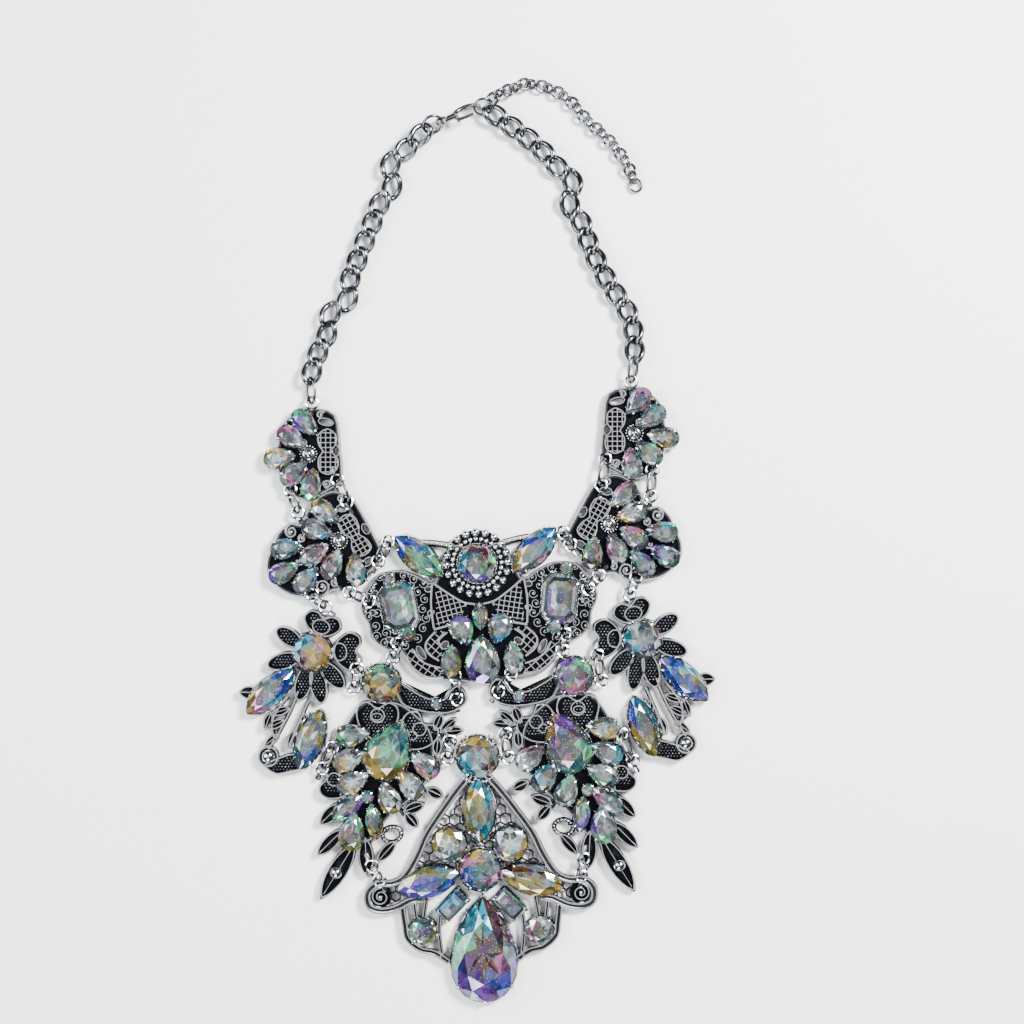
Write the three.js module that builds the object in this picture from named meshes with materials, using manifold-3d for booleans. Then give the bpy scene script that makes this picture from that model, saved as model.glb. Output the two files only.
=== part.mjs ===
// Bib necklace: cast plates and drops set with cut stones, joined by jump rings,
// worn on two curb chains with a lobster clasp and an extender chain.
// Millimetres, +Z up. The necklace lies on its flat back, the bib towards -Y.

import * as THREE from 'three';
import { mergeVertices } from 'three/addons/utils/BufferGeometryUtils.js';
import Module from 'manifold-3d';

const wasm = await Module();
wasm.setup();

// Driving sizes of the castings
const castThick = 2.2;
const reliefRise = 0.6;
const petalRelief = 0.62;
const barWide = 1.9;
const beadRise = 1.7;
const mergeWithin = 0.12;

// Reach of each casting: its tables below hold shares of this length
const upperPlateReach = 25;
const shoulderPlateReach = 25;
const flowerReach = 50;
const clusterReach = 50;
const butterflyReach = 50;
const centreReach = 50;

// Where the castings lie, as shares of the bib's half width and height
const bibHalfWide = 50;
const bibTall = 100;

// Stones and their settings
const stoneSides = { round: 10, pear: 11, marquise: 10, octagon: 8 };
const smallStoneSides = { round: 8, pear: 7, marquise: 6, octagon: 8 };
const ringSides = 12;
const discSides = 8;
const seatHeight = 1.3;
const seatGap = 0.3;
const settingWall = 0.9;
const settingTop = 2.9;
const girdleHeight = 3.3;
const crownShare = 0.2;
const tableShare = 0.6;
const culetShare = 0.55;
const smallGirdle = 3.4;
const smallCrown = 1.2;

// Jump rings and the eyelets that they pass through
const ringWire = 0.9;
const ringHalfWide = 1.9;
const ringTilt = 50;
const ringHeight = 2.45;
const eyeletSides = 8;
const eyeletHole = 1.35;
const eyeletRim = 0.7;
const eyeletThick = 1.0;
const eyeletNeck = 5.0;
const eyeletNeckWide = 2.4;
const ringClearance = 0.35;

// Curb chain
const curbWire = 1.25;
const curbHalfLong = 3.4;
const curbHalfWide = 2.1;
const curbTwist = 45;
const curbBite = 0.26;
const curbHeight = 1.5;

// Extender chain: the wire and width of its links
const cableWire = 0.75;
const cableHalfWide = 1.0;
const cableSides = 8;
const cableSteps = 26;
const extenderAngle = 20;

// Clasp
const claspRingRadius = 2.8;
const claspRingWire = 0.95;
const claspRoll = -45;
const claspYaw = 20.7;
const claspHeight = 3.05;
const claspThick = 1.8;
const claspLong = 12.0;
const claspEyeRadius = 1.95;
const claspEyeHole = 1.1;
const hookHalfLong = 4.4;
const hookHalfWide = 3.0;
const hookWire = 1.35;
const leverWide = 1.25;
const leverLong = 4.5;
const leverGap = 0.3;
const leverPivotRadius = 0.9;
const endRingRadius = 2.7;
const endRingWire = 0.8;
const claspRingPlace = { x: -13.7, y: 118.6 };

// Routes of the chains, chosen by hand: x, y and z of the points that they pass
const chainRoutes = {
  left: [
    [-21.6, 111.5, 1.5], [-25.3, 105, 1.5], [-28.5, 97, 1.5], [-33.9, 83.5, 1.5],
    [-38, 72.9, 1.5], [-40.8, 66, 1.5], [-45.2, 56, 1.5], [-47.9, 50.5, 1.9], [-48.3, 45, 2.3],
    [-48.3, 40, 2.3],
  ],
  right: [
    [4.6, 121, 1.9], [13.3, 115, 1.5], [20.4, 108.4, 1.5], [25, 101.8, 1.5], [27.6, 94.4, 1.5],
    [31.8, 82.9, 1.5], [37, 72.9, 1.5], [42.2, 64.9, 1.5], [44.2, 56.9, 1.7], [43.5, 50, 2.3],
    [43.2, 45, 2.3],
  ],
  extender: [
    [4.6, 127, 2.8], [9, 128.9, 1.7], [13.3, 130.4, 1.45], [19.9, 129, 1.45], [25.6, 125.6, 1.45],
    [30.7, 119.8, 1.45], [35.6, 115.5, 1.45], [39.3, 111.3, 1.45], [42.2, 107, 1.45],
    [43.9, 102.7, 1.45],
  ],
};

// Helpers for tables, outlines and solids

/** Turns rows of values into objects with the named columns. */
function table(columns, rows) {
  const names = columns.split(' ');
  return rows.map((row) => Object.fromEntries(row.map((value, i) => [names[i], value])));
}

const radians = (degrees) => (degrees * Math.PI) / 180;

/** Points of an outline turned by degrees and moved to x, y. */
function placed(points, x, y, degrees = 0) {
  const c = Math.cos(radians(degrees));
  const s = Math.sin(radians(degrees));
  return points.map(([px, py]) => [x + px * c - py * s, y + px * s + py * c]);
}

/** Ellipse with its long half along X. */
function ellipse(halfLong, halfWide, sides) {
  return Array.from({ length: sides }, (_, i) => {
    const t = (2 * Math.PI * i) / sides;
    return [halfLong * Math.cos(t), halfWide * Math.sin(t)];
  });
}

/** Girdle outline of a cut stone, its point or long side towards +X. */
function stoneOutline(kind, long, wide, sides) {
  if (kind === 'octagon') {
    const cut = 0.29 * wide;
    const [a, b] = [long / 2, wide / 2];
    return [[a, -b + cut], [a, b - cut], [a - cut, b], [-a + cut, b],
      [-a, b - cut], [-a, -b + cut], [-a + cut, -b], [a - cut, -b]];
  }
  const waist = { round: () => 1, marquise: (t) => Math.abs(Math.sin(t)) ** 0.45,
    pear: (t) => Math.sin(t / 2) / 0.77 }[kind];
  return ellipse(long / 2, wide / 2, sides).map(([x, y], i) => {
    return [x, y * waist((2 * Math.PI * i) / sides)];
  });
}

/** Outline moved outwards by a distance along the corners' bisectors. */
function grown(points, by) {
  const count = points.length;
  return points.map(([x, y], i) => {
    const before = points[(i + count - 1) % count];
    const after = points[(i + 1) % count];
    const inward = new THREE.Vector2(x - before[0], y - before[1]).normalize();
    const outward = new THREE.Vector2(after[0] - x, after[1] - y).normalize();
    const side = inward.add(outward).normalize();
    const half = Math.max(0.6, Math.abs(side.dot(outward)));
    return [x + (side.y * by) / half, y - (side.x * by) / half];
  });
}

/** Solid of a closed three.js geometry. */
function solidOf(geometry) {
  const bare = geometry.clone();
  bare.deleteAttribute('normal');
  bare.deleteAttribute('uv');
  const merged = mergeVertices(bare, 1e-4);
  const mesh = new wasm.Mesh({ numProp: 3,
    vertProperties: new Float32Array(merged.attributes.position.array),
    triVerts: new Uint32Array(merged.index.array) });
  return new wasm.Manifold(mesh);
}

/** Upright wall of an outline between two heights. */
function prism(points, low, high) {
  const shape = new THREE.Shape(points.map(([x, y]) => new THREE.Vector2(x, y)));
  const geometry = new THREE.ExtrudeGeometry(shape, { depth: high - low, bevelEnabled: false });
  return solidOf(geometry.translate(0, 0, low));
}

/** Solid lofted through stacked outlines of equal point counts. */
function loft(levels) {
  const sides = levels[0].points.length;
  const shape = new THREE.Shape(levels[0].points.map(([x, y]) => new THREE.Vector2(x, y)));
  const geometry = new THREE.ExtrudeGeometry(shape,
    { depth: levels.length - 1, steps: levels.length - 1, bevelEnabled: false });
  const position = geometry.attributes.position;
  const home = levels[0].points;
  for (let i = 0; i < position.count; i += 1) {
    const level = levels[Math.round(position.getZ(i))];
    const corner = home.findIndex(([x, y]) => {
      return Math.hypot(x - position.getX(i), y - position.getY(i)) < 1e-3;
    });
    const [x, y] = level.points[corner % sides];
    position.setXYZ(i, x, y, level.z);
  }
  return solidOf(geometry);
}

const joined = (solids) => solids.reduce((all, solid) => all.add(solid));

/** Outline shrunk towards its own middle. */
function shrunk(points, share) {
  const x = points.reduce((sum, p) => sum + p[0], 0) / points.length;
  const y = points.reduce((sum, p) => sum + p[1], 0) / points.length;
  return points.map((p) => [x + (p[0] - x) * share, y + (p[1] - y) * share]);
}

/** Band of even width along a line of points. */
function band(points, wide, low, high) {
  const pieces = [];
  points.slice(1).forEach(([x, y], i) => {
    const [fromX, fromY] = points[i];
    const long = Math.hypot(x - fromX, y - fromY);
    const turn = (Math.atan2(y - fromY, x - fromX) * 180) / Math.PI;
    const half = wide / 2;
    const slab = [[-half * 0.7, -half], [long + half * 0.7, -half],
      [long + half * 0.7, half], [-half * 0.7, half]];
    pieces.push(prism(placed(slab, fromX, fromY, turn), low, high));
  });
  return joined(pieces);
}

// Stones

/** Cut stone with a flat foot, a girdle, a crown and a table. */
function cutStone(kind, long, wide, sides) {
  const girdle = stoneOutline(kind, long, wide, sides);
  return loft([
    { points: shrunk(girdle, culetShare), z: seatHeight },
    { points: girdle, z: girdleHeight },
    { points: shrunk(girdle, tableShare), z: girdleHeight + crownShare * wide },
  ]);
}

/** Small stone and its closed setting as one form, fused to a casting. */
function smallStone({ kind, x, y, turn, long, wide }, reach) {
  const girdle = placed(stoneOutline(kind, long, wide, smallStoneSides[kind]), x * reach, y * reach, turn);
  return loft([
    { points: girdle, z: 0 },
    { points: girdle, z: smallGirdle },
    { points: shrunk(girdle, tableShare), z: smallGirdle + smallCrown },
  ]);
}

// Castings. The outlines, gaps and stones are shares of the casting's reach, for the left hand.
// columns of outlines and gaps: x, y (gaps also half length, half width, turn)

const upperPlate = {
  reach: upperPlateReach,
  outline: [[0.04, 0.528], [-0.076, 0.504], [-0.236, 0.412], [-0.332, 0.264], [-0.344, 0.12],
    [-0.376, -0.08], [-0.296, -0.344], [-0.216, -0.464], [-0.056, -0.528], [0.036, -0.516],
    [0.276, -0.396], [0.396, -0.256], [0.308, 0.456]],
  gaps: table('x y halfLong halfWide turn', [[0.2, 0.368, 0.09, 0.05, -10], [0.2, -0.345, 0.05, 0.04, 20]]),
  lattice: { x: 0.2, y: 0.03, turn: 95, rows: 2, columns: 2 },
  discs: table('x y radius rise', [[0, 0, 0.08, 0.06]]),
  stones: table('kind x y turn long wide', [['pear', -0.036, 0.356, -46, 9.2, 5.6],
    ['pear', -0.188, 0.184, -34, 9.2, 5.6], ['pear', -0.324, -0.044, 9, 9.2, 5.6],
    ['pear', -0.156, -0.216, 39, 9.2, 5.6], ['pear', 0.032, -0.34, 82, 9.2, 5.6]]),
  eyelets: { chain: [0.04, 0.584], inner: [0.336, -0.3], outer: [-0.204, -0.42] },
};

const shoulderPlate = {
  reach: shoulderPlateReach,
  outline: [[-0.456, 0.352], [-0.46, 0.192], [-0.576, 0.204], [-0.704, 0.08], [-0.752, -0.048],
    [-0.832, -0.208], [-0.824, -0.388], [-0.72, -0.532], [-0.56, -0.628], [-0.368, -0.664],
    [-0.204, -0.656], [-0.056, -0.576], [0.08, -0.58], [0.168, -0.532], [0.49, -0.24],
    [0.48, -0.1], [0.168, 0.484], [0.068, 0.548], [-0.092, 0.58], [-0.268, 0.484],
    [-0.38, 0.376]],
  gaps: table('x y halfLong halfWide turn', [[0.04, 0.376, 0.06, 0.035, 10],
    [0.312, -0.224, 0.06, 0.04, 40], [-0.54, 0.1, 0.04, 0.04, 0]]),
  lattice: { x: 0.16, y: 0.076, turn: 120, rows: 2, columns: 2 },
  discs: table('x y radius rise', [[0, 0, 0.08, 0.06], [-0.196, -0.54, 0.09, 0.02]]),
  stones: table('kind x y turn long wide', [['pear', -0.156, 0.324, -40, 9.2, 5.6],
    ['pear', -0.252, 0.124, -18, 9.2, 5.6], ['pear', -0.276, -0.144, 33, 9.2, 5.6],
    ['pear', -0.072, -0.272, 67, 9.2, 5.6], ['pear', 0.192, -0.324, 97, 9.2, 5.6],
    ['pear', -0.6, -0.088, 8, 9.2, 5.6], ['pear', -0.628, -0.356, 28, 9.2, 5.6],
    ['pear', -0.368, -0.444, 48, 9.2, 5.6]]),
  eyelets: { outer: [-0.472, 0.32], inner: [0.092, 0.44], corner: [0.448, -0.236],
    bottom: [0.12, -0.592], flower: [-0.308, -0.616] },
};

const flowerDrop = {
  reach: flowerReach,
  petals: table('turn tip wide', [[57, 0.24, 0.13], [85, 0.24, 0.13], [-13, 0.28, 0.13],
    [16, 0.28, 0.13], [146, 0.25, 0.106], [196, 0.27, 0.106], [240, 0.28, 0.106],
    [281, 0.3, 0.106], [315, 0.28, 0.106]]),
  leaves: table('x y turn long wide', [[-0.126, -0.314, 200, 0.12, 0.05],
    [-0.154, -0.384, 205, 0.12, 0.05], [-0.184, -0.464, 218, 0.12, 0.05],
    [-0.052, -0.338, 280, 0.12, 0.05], [-0.098, -0.44, 250, 0.12, 0.05],
    [-0.234, -0.33, 250, 0.12, 0.05], [-0.3, -0.228, 180, 0.13, 0.07]]),
  stems: [[[-0.08, -0.24], [-0.12, -0.34], [-0.19, -0.47], [-0.25, -0.56]],
    [[-0.02, -0.3], [-0.08, -0.42], [-0.12, -0.5]],
    [[-0.14, -0.26], [-0.2, -0.34], [-0.23, -0.42], [-0.21, -0.5]]],
  panels: [[[-0.28, -0.64], [-0.212, -0.698], [-0.126, -0.69], [-0.052, -0.672], [-0.05, -0.6],
    [-0.12, -0.575], [-0.19, -0.59]]],
  discs: table('x y radius rise', [[-0.252, -0.594, 0.062, 0], [-0.252, -0.594, 0.044, 0.03]]),
  mainStones: table('name kind x y turn long wide', [
    ['flower_stone', 'round', 0, 0, 15, 11, 11],
    ['upper_marquise', 'marquise', -0.24, -0.224, 43, 18, 8],
    ['lower_marquise', 'marquise', -0.012, -0.498, 70, 18, 8]]),
  stones: [],
  eyelets: { top: [0.074, 0.262], petal: [0.256, -0.09], bottom: [0.118, -0.54, 160] },
};

const clusterDrop = {
  reach: clusterReach,
  outline: [[-0.09, -0.09], [-0.21, -0.22], [-0.27, -0.36], [-0.26, -0.52], [-0.25, -0.66],
    [-0.23, -0.8], [-0.17, -0.9], [-0.08, -0.92], [-0.02, -0.86], [0.06, -0.76], [0.18, -0.67],
    [0.28, -0.54], [0.31, -0.4], [0.29, -0.26], [0.18, -0.15], [0.084, -0.1]],
  panels: [[[0.05, 0.03], [0.04, -0.08], [0.104, -0.112], [0.22, -0.164], [0.38, -0.176],
    [0.486, -0.14], [0.49, -0.08], [0.434, -0.03], [0.376, -0.04], [0.355, -0.09],
    [0.26, -0.078], [0.11, 0.014]]],
  stems: [[[0.3, -0.29], [0.36, -0.28], [0.4, -0.32]], [[0.24, -0.6], [0.29, -0.63]],
    [[0.1, -0.72], [0.13, -0.76]], [[0.0, -0.85], [0.03, -0.84]]],
  leaves: table('x y turn long wide', [[0.33, -0.29, 42, 0.13, 0.06], [0.36, -0.28, 5, 0.13, 0.06],
    [0.32, -0.32, 262, 0.11, 0.06], [0.3, -0.28, 72, 0.13, 0.06], [0.1, -0.74, 18, 0.15, 0.07],
    [0.11, -0.73, 305, 0.13, 0.07], [0.06, -0.9, 224, 0.17, 0.07], [-0.096, -0.86, 274, 0.27, 0.09],
    [-0.22, -0.66, 228, 0.2, 0.08], [-0.2, -0.82, 228, 0.22, 0.08],
    [-0.14, -0.87, 240, 0.42, 0.12], [0.25, -0.6, 330, 0.11, 0.07]]),
  discs: table('x y radius rise', [[-0.096, -0.176, 0.068, 0], [0.048, -0.17, 0.068, 0],
    [0.162, -0.222, 0.06, 0], [0.276, -0.312, 0.06, 0], [-0.318, -0.484, 0.06, 0],
    [-0.296, -0.622, 0.06, 0], [0.058, -0.868, 0.064, 0], [-0.262, -1.086, 0.045, 0.03],
    [0.314, -0.118, 0.036, 0.03]]),
  gaps: table('x y halfLong halfWide turn', [[0.058, -0.868, 0.03, 0.02, 0],
    [0.176, -0.3, 0.02, 0.02, 0], [-0.028, -0.2, 0.02, 0.014, 0]]),
  mainStones: table('name kind x y turn long wide', [
    ['cluster_round', 'round', 0, 0, 15, 11, 11],
    ['cluster_pear', 'pear', 0.042, -0.382, 66, 18, 13]]),
  stones: table('kind x y turn long wide', [['pear', -0.164, -0.296, 8, 9.6, 6.2],
    ['pear', -0.188, -0.434, 25, 9.6, 6.2], ['pear', -0.164, -0.564, 25, 9.6, 6.2],
    ['pear', 0.04, -0.654, 110, 9.6, 6.2], ['pear', 0.162, -0.576, 125, 9.6, 6.2],
    ['pear', 0.246, -0.462, 140, 9.6, 6.2], ['pear', -0.168, -0.85, 80, 11, 7.5],
    ['marquise', -0.196, -0.71, 40, 11, 6], ['marquise', -0.044, -0.79, 97, 10.5, 5],
    ['round', -0.082, -0.65, 0, 3.8, 3.8]]),
  eyelets: { flower: [-0.158, -0.024, 0], wing: [0.064, 0.146], arm: [0.43, -0.09],
    heart: [-0.338, -0.484], sprig: [0.39, -0.33, 156], bottom: [-0.056, -1.046] },
};

const butterflyPlate = {
  reach: butterflyReach,
  halfOutline: [[0, 0.09], [-0.15, 0.11], [-0.246, -0.088], [-0.344, -0.05], [-0.436, -0.014], [-0.542, -0.02],
    [-0.598, -0.056], [-0.674, -0.174], [-0.678, -0.244], [-0.644, -0.314], [-0.63, -0.39],
    [-0.584, -0.442], [-0.518, -0.478], [-0.45, -0.47], [-0.385, -0.56], [-0.31, -0.63],
    [-0.23, -0.65], [-0.16, -0.66], [0, -0.685]],
  bars: [[[-0.15, 0.1], [-0.28, 0.128], [-0.38, 0.14], [-0.45, 0.148]]],
  ringOuter: 0.197, ringInner: 0.15, ringBeads: 17,
  gaps: table('x y halfLong halfWide turn', [[-0.586, -0.142, 0.03, 0.022, 60],
    [-0.418, -0.084, 0.03, 0.015, 0], [-0.316, -0.318, 0.028, 0.02, 30],
    [-0.514, -0.382, 0.03, 0.02, 10], [-0.208, -0.456, 0.025, 0.018, 40],
    [-0.326, -0.506, 0.08, 0.022, -40], [-0.62, -0.26, 0.02, 0.02, 0],
    [-0.31, -0.15, 0.02, 0.016, 0], [-0.3, -0.22, 0.02, 0.016, 0]]),
  lattice: { x: -0.185, y: -0.27, turn: 0, rows: 3, columns: 2 },
  discs: table('x y radius rise', [[-0.414, -0.382, 0.055, 0.02], [-0.51, -0.06, 0.05, 0.02]]),
  mainStones: table('name kind x y turn long wide', [
    ['butterfly_navette', 'marquise', -0.332, 0.058, -43, 17, 8],
    ['butterfly_octagon', 'octagon', -0.461, -0.224, 98, 14, 10]]),
  middleStones: table('name kind x y turn long wide', [
    ['butterfly_round', 'round', 0, 0, 15, 11, 11]]),
  stones: table('kind x y turn long wide', [['pear', -0.106, -0.38, -70, 9, 7],
    ['pear', -0.178, -0.546, 84, 9.2, 5.6]]),
  middleSmallStones: table('kind x y turn long wide', [['marquise', 0, -0.3, 90, 8, 4.5],
    ['pear', 0, -0.548, 90, 14, 10]]),
  eyelets: { shoulder: [-0.5, 0.15], outer: [-0.628, -0.18], wing: [-0.48, -0.43],
    bottom: [-0.162, -0.64] },
};

const centreDrop = {
  reach: centreReach,
  halfOutline: [[0, 0.56], [-0.07, 0.524], [-0.19, 0.37], [-0.3, 0.21], [-0.358, 0.09],
    [-0.43, -0.03], [-0.5, -0.07], [-0.51, -0.15], [-0.446, -0.21], [-0.42, -0.36], [-0.36, -0.45],
    [-0.28, -0.47], [-0.2, -0.53], [0, -0.56]],
  bars: [],
  gaps: table('x y halfLong halfWide turn', [[-0.074, 0.44, 0.024, 0.016, 50],
    [-0.18, 0.315, 0.026, 0.02, 60], [-0.295, 0.12, 0.03, 0.018, 60],
    [-0.4, -0.235, 0.034, 0.026, 10], [-0.272, -0.235, 0.024, 0.024, 0],
    [-0.245, -0.39, 0.03, 0.02, 80], [-0.245, 0.22, 0.02, 0.014, 60], [-0.115, 0.375, 0.02, 0.012, 60]]),
  discs: table('x y radius rise', [[-0.578, -0.144, 0.088, 0], [-0.578, -0.144, 0.045, 0.04]]),
  mainStones: [],
  middleStones: table('name kind x y turn long wide', [
    ['top_round', 'round', 0, 0.646, 15, 12, 12],
    ['top_marquise', 'marquise', 0, 0.34, 90, 18, 9.5],
    ['centre_round', 'round', 0, 0, 15, 12, 12],
    ['centre_pear', 'pear', 0.01, -0.46, 90, 30, 19]]),
  stones: table('kind x y turn long wide', [['marquise', -0.3, -0.064, 15, 18, 9],
    ['round', -0.175, 0.145, 0, 10, 10],
    ['round', -0.336, -0.35, 0, 8, 8], ['octagon', -0.165, -0.2, 45, 9, 5]]),
  middleSmallStones: [],
  eyelets: { top: [-0.172, 0.64, 0], scroll: [-0.578, -0.05] },
};

const latticeGap = 2.3;
const latticePitch = 3.5;

// Places of the castings: x and y as shares of the bib, turn in degrees
const places = table('name design side x y turn', [
  ['upper_plate_L', upperPlate, 1, -0.986, 0.243, 0],
  ['upper_plate_R', upperPlate, -1, 0.882, 0.303, 0],
  ['shoulder_plate_L', shoulderPlate, 1, -0.81, -0.005, 0],
  ['shoulder_plate_R', shoulderPlate, -1, 0.738, 0.043, 0],
  ['flower_drop_L', flowerDrop, 1, -0.964, -0.326, 0],
  ['flower_drop_R', flowerDrop, -1, 0.926, -0.288, 0],
  ['cluster_drop_L', clusterDrop, 1, -0.566, -0.413, 0],
  ['cluster_drop_R', clusterDrop, -1, 0.534, -0.392, 0],
  ['butterfly_plate', butterflyPlate, 1, -0.02, -0.07, 3.2],
  ['centre_drop', centreDrop, 1, -0.002, -0.946, 1.3],
]);

// Jump rings: what each joins, by casting and eyelet, on the left hand side.
// A middle casting has an eyelet of the same name on either side.
const joints = table('name from eye to eyeTo', [
  ['ring_plate_inner', 'upper_plate', 'inner', 'shoulder_plate', 'inner'],
  ['ring_plate_outer', 'upper_plate', 'outer', 'shoulder_plate', 'outer'],
  ['ring_flower_top', 'shoulder_plate', 'flower', 'flower_drop', 'top'],
  ['ring_butterfly_top', 'shoulder_plate', 'corner', 'butterfly_plate', 'shoulder'],
  ['ring_butterfly_side', 'shoulder_plate', 'bottom', 'butterfly_plate', 'outer'],
  ['ring_cluster_outer', 'flower_drop', 'petal', 'cluster_drop', 'flower'],
  ['ring_cluster_inner', 'butterfly_plate', 'wing', 'cluster_drop', 'wing'],
  ['ring_cluster_arm', 'butterfly_plate', 'bottom', 'cluster_drop', 'arm'],
  ['ring_flower_foot', 'flower_drop', 'bottom', 'cluster_drop', 'heart'],
  ['ring_centre_top', 'cluster_drop', 'sprig', 'centre_drop', 'top'],
  ['ring_centre_side', 'cluster_drop', 'bottom', 'centre_drop', 'scroll'],
]);

/** Point of a casting's own frame in the necklace's frame. */
function toWorld(place, [x, y]) {
  const own = [[place.side * x, y]];
  return placed(own, place.x * bibHalfWide, place.y * bibTall, place.turn)[0];
}

/** Point of the necklace's frame in a casting's own frame. */
function toOwn(place, [x, y]) {
  const moved = [[x - place.x * bibHalfWide, y - place.y * bibTall]];
  const [ownX, ownY] = placed(moved, 0, 0, -place.turn)[0];
  return [place.side * ownX, ownY];
}

const placeOf = (name) => places.find((place) => place.name === name);

/** Eyelet of a casting in its own frame; middle castings mirror theirs to the right. */
function eyeletPoint(place, eyelet, hand) {
  const [x, y] = place.design.eyelets[eyelet];
  const mirror = place.design.halfOutline && hand === 'R' ? -1 : 1;
  return [mirror * x * place.design.reach, y * place.design.reach];
}

const sided = (name, hand) => (placeOf(name) ? name : `${name}_${hand}`);

/** Oval link, its long half along X, twisted from end to end by twist degrees each way. */
function linkSolid(halfLong, halfWide, wire, twist = 0) {
  const geometry = new THREE.TorusGeometry(halfWide, wire / 2, 5, 10);
  const position = geometry.attributes.position;
  const point = new THREE.Vector3();
  for (let i = 0; i < position.count; i += 1) {
    point.fromBufferAttribute(position, i);
    const along = Math.cos(Math.atan2(point.y, point.x));
    point.x += (halfLong - halfWide) * along;
    point.applyAxisAngle(new THREE.Vector3(1, 0, 0), radians(twist * along));
    position.setXYZ(i, point.x, point.y, point.z);
  }
  return solidOf(geometry);
}

/** Centres of links along a route, an equal pitch apart. */
function linkCentres(start, points, firstStep, pitch) {
  const route = [start, ...points.map((point) => new THREE.Vector3(...point))];
  const curve = new THREE.CatmullRomCurve3(route, false, 'centripetal');
  const centres = [];
  let last = start;
  let step = firstStep;
  curve.getSpacedPoints(4000).forEach((point) => {
    if (point.distanceTo(last) >= step) {
      centres.push(point);
      last = point;
      step = pitch;
    }
  });
  return centres;
}

/** Fuses links at the centres, each turned along the route. */
function chainSolid(link, centres) {
  const chain = joined(centres.map((centre, i) => {
    const from = centres[Math.max(0, i - 1)];
    const to = centres[Math.min(centres.length - 1, i + 1)];
    const along = new THREE.Vector3().subVectors(to, from).normalize();
    const across = new THREE.Vector3(-along.y, along.x, 0).normalize();
    const up = new THREE.Vector3().crossVectors(along, across);
    const matrix = new THREE.Matrix4().makeBasis(along, across, up);
    matrix.setPosition(centre);
    return link.transform(matrix.elements);
  }));
  return chain.asOriginal().simplify(mergeWithin / 2);
}

/** Outline of a middle casting from its left half. */
function fullOutline(half) {
  const right = half.slice(1, -1).reverse().map(([x, y]) => [-x, y]);
  return [...half, ...right];
}

/** Rows of a middle casting's left half together with their mirror. */
function bothSides(rows) {
  return rows.flatMap((row) => [
    { ...row, hand: 'L' },
    { ...row, hand: 'R', x: -row.x, turn: 180 - (row.turn ?? 0) },
  ]);
}

/** Points given as shares, at their real size. */
const scaled = (points, reach) => points.map(([x, y]) => [x * reach, y * reach]);

/** Everything that a casting's tables say, for both halves of a middle casting. */
function castingRows(design) {
  const middle = Boolean(design.halfOutline);
  const spread = (rows) => (middle ? bothSides(rows ?? []) : (rows ?? []));
  const lattices = design.lattice ? spread([design.lattice]) : [];
  const bars = (design.bars ?? []).flatMap((bar) => [bar, bar.map(([x, y]) => [-x, y])]);
  return {
    outline: middle ? fullOutline(design.halfOutline) : design.outline,
    bars: [...bars, ...(design.stems ?? [])],
    gaps: spread(design.gaps),
    lattices,
    discs: spread(design.discs),
    stones: [...spread(design.stones), ...(design.middleSmallStones ?? [])],
    mainStones: [...spread(design.mainStones), ...(design.middleStones ?? [])],
  };
}

/** Square gaps of a lattice. */
function latticeGaps(lattice, reach) {
  const square = ellipse(latticeGap / Math.SQRT2, latticeGap / Math.SQRT2, 4);
  const gaps = [];
  for (let row = 0; row < lattice.rows; row += 1) {
    for (let column = 0; column < lattice.columns; column += 1) {
      const offset = [(column - (lattice.columns - 1) / 2) * latticePitch,
        (row - (lattice.rows - 1) / 2) * latticePitch];
      const [x, y] = placed([offset], lattice.x * reach, lattice.y * reach, lattice.turn)[0];
      gaps.push(prism(placed(square, x, y, lattice.turn), -1, 2 * castThick));
    }
  }
  return gaps;
}

/** Petal of a flower: a raised panel inside a wider one. */
function petalSolid({ turn, tip, wide }, reach) {
  const root = 0.05;
  const half = ((tip - root) / 2) * reach;
  const middle = placed([[(tip + root) / 2 * reach, 0]], 0, 0, turn)[0];
  const outer = placed(ellipse(half, (wide / 2) * reach, discSides), ...middle, turn);
  return prism(outer, 0, castThick).add(
    prism(shrunk(outer, petalRelief), 0, castThick + reliefRise));
}

/** Pointed leaf that grows from its root. */
function leafSolid({ x, y, turn, long, wide }, reach) {
  const outline = stoneOutline('marquise', long * reach, wide * reach, 6);
  const root = placed([[(long / 2) * reach, 0]], x * reach, y * reach, turn)[0];
  return prism(placed(outline, ...root, turn), 0, castThick);
}

/** Ring of beads round the middle stone of the butterfly, as one scalloped wall. */
function beadRing(design) {
  const [outer, inner] = [design.ringOuter * design.reach, design.ringInner * design.reach];
  const scallops = Array.from({ length: 2 * design.ringBeads }, (_, i) => {
    const t = (Math.PI * i) / design.ringBeads;
    const radius = i % 2 ? outer - 0.5 * (outer - inner) * 0.5 : outer;
    return [radius * Math.cos(t), radius * Math.sin(t)];
  });
  return prism(scallops, 0, castThick + beadRise).subtract(
    prism(ellipse(inner, inner, ringSides), castThick, 2 * castThick + beadRise));
}

/** Way of a jump ring through a casting, from its eyelet towards the other one. */
function ringWay(eyelet, other) {
  const half = eyeletHole + eyeletRim + ringClearance;
  const turn = (Math.atan2(other[1] - eyelet[1], other[0] - eyelet[0]) * 180) / Math.PI;
  const long = Math.hypot(other[0] - eyelet[0], other[1] - eyelet[1]) + half;
  const near = ringHalfWide * Math.cos(radians(ringTilt)) + ringWire;
  const way = [[-near / 2, -near], [long, -half], [long, half], [-near / 2, near]];
  return { turn, solid: prism(placed(way, ...eyelet, turn), -1, 3 * castThick + settingTop) };
}

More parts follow.
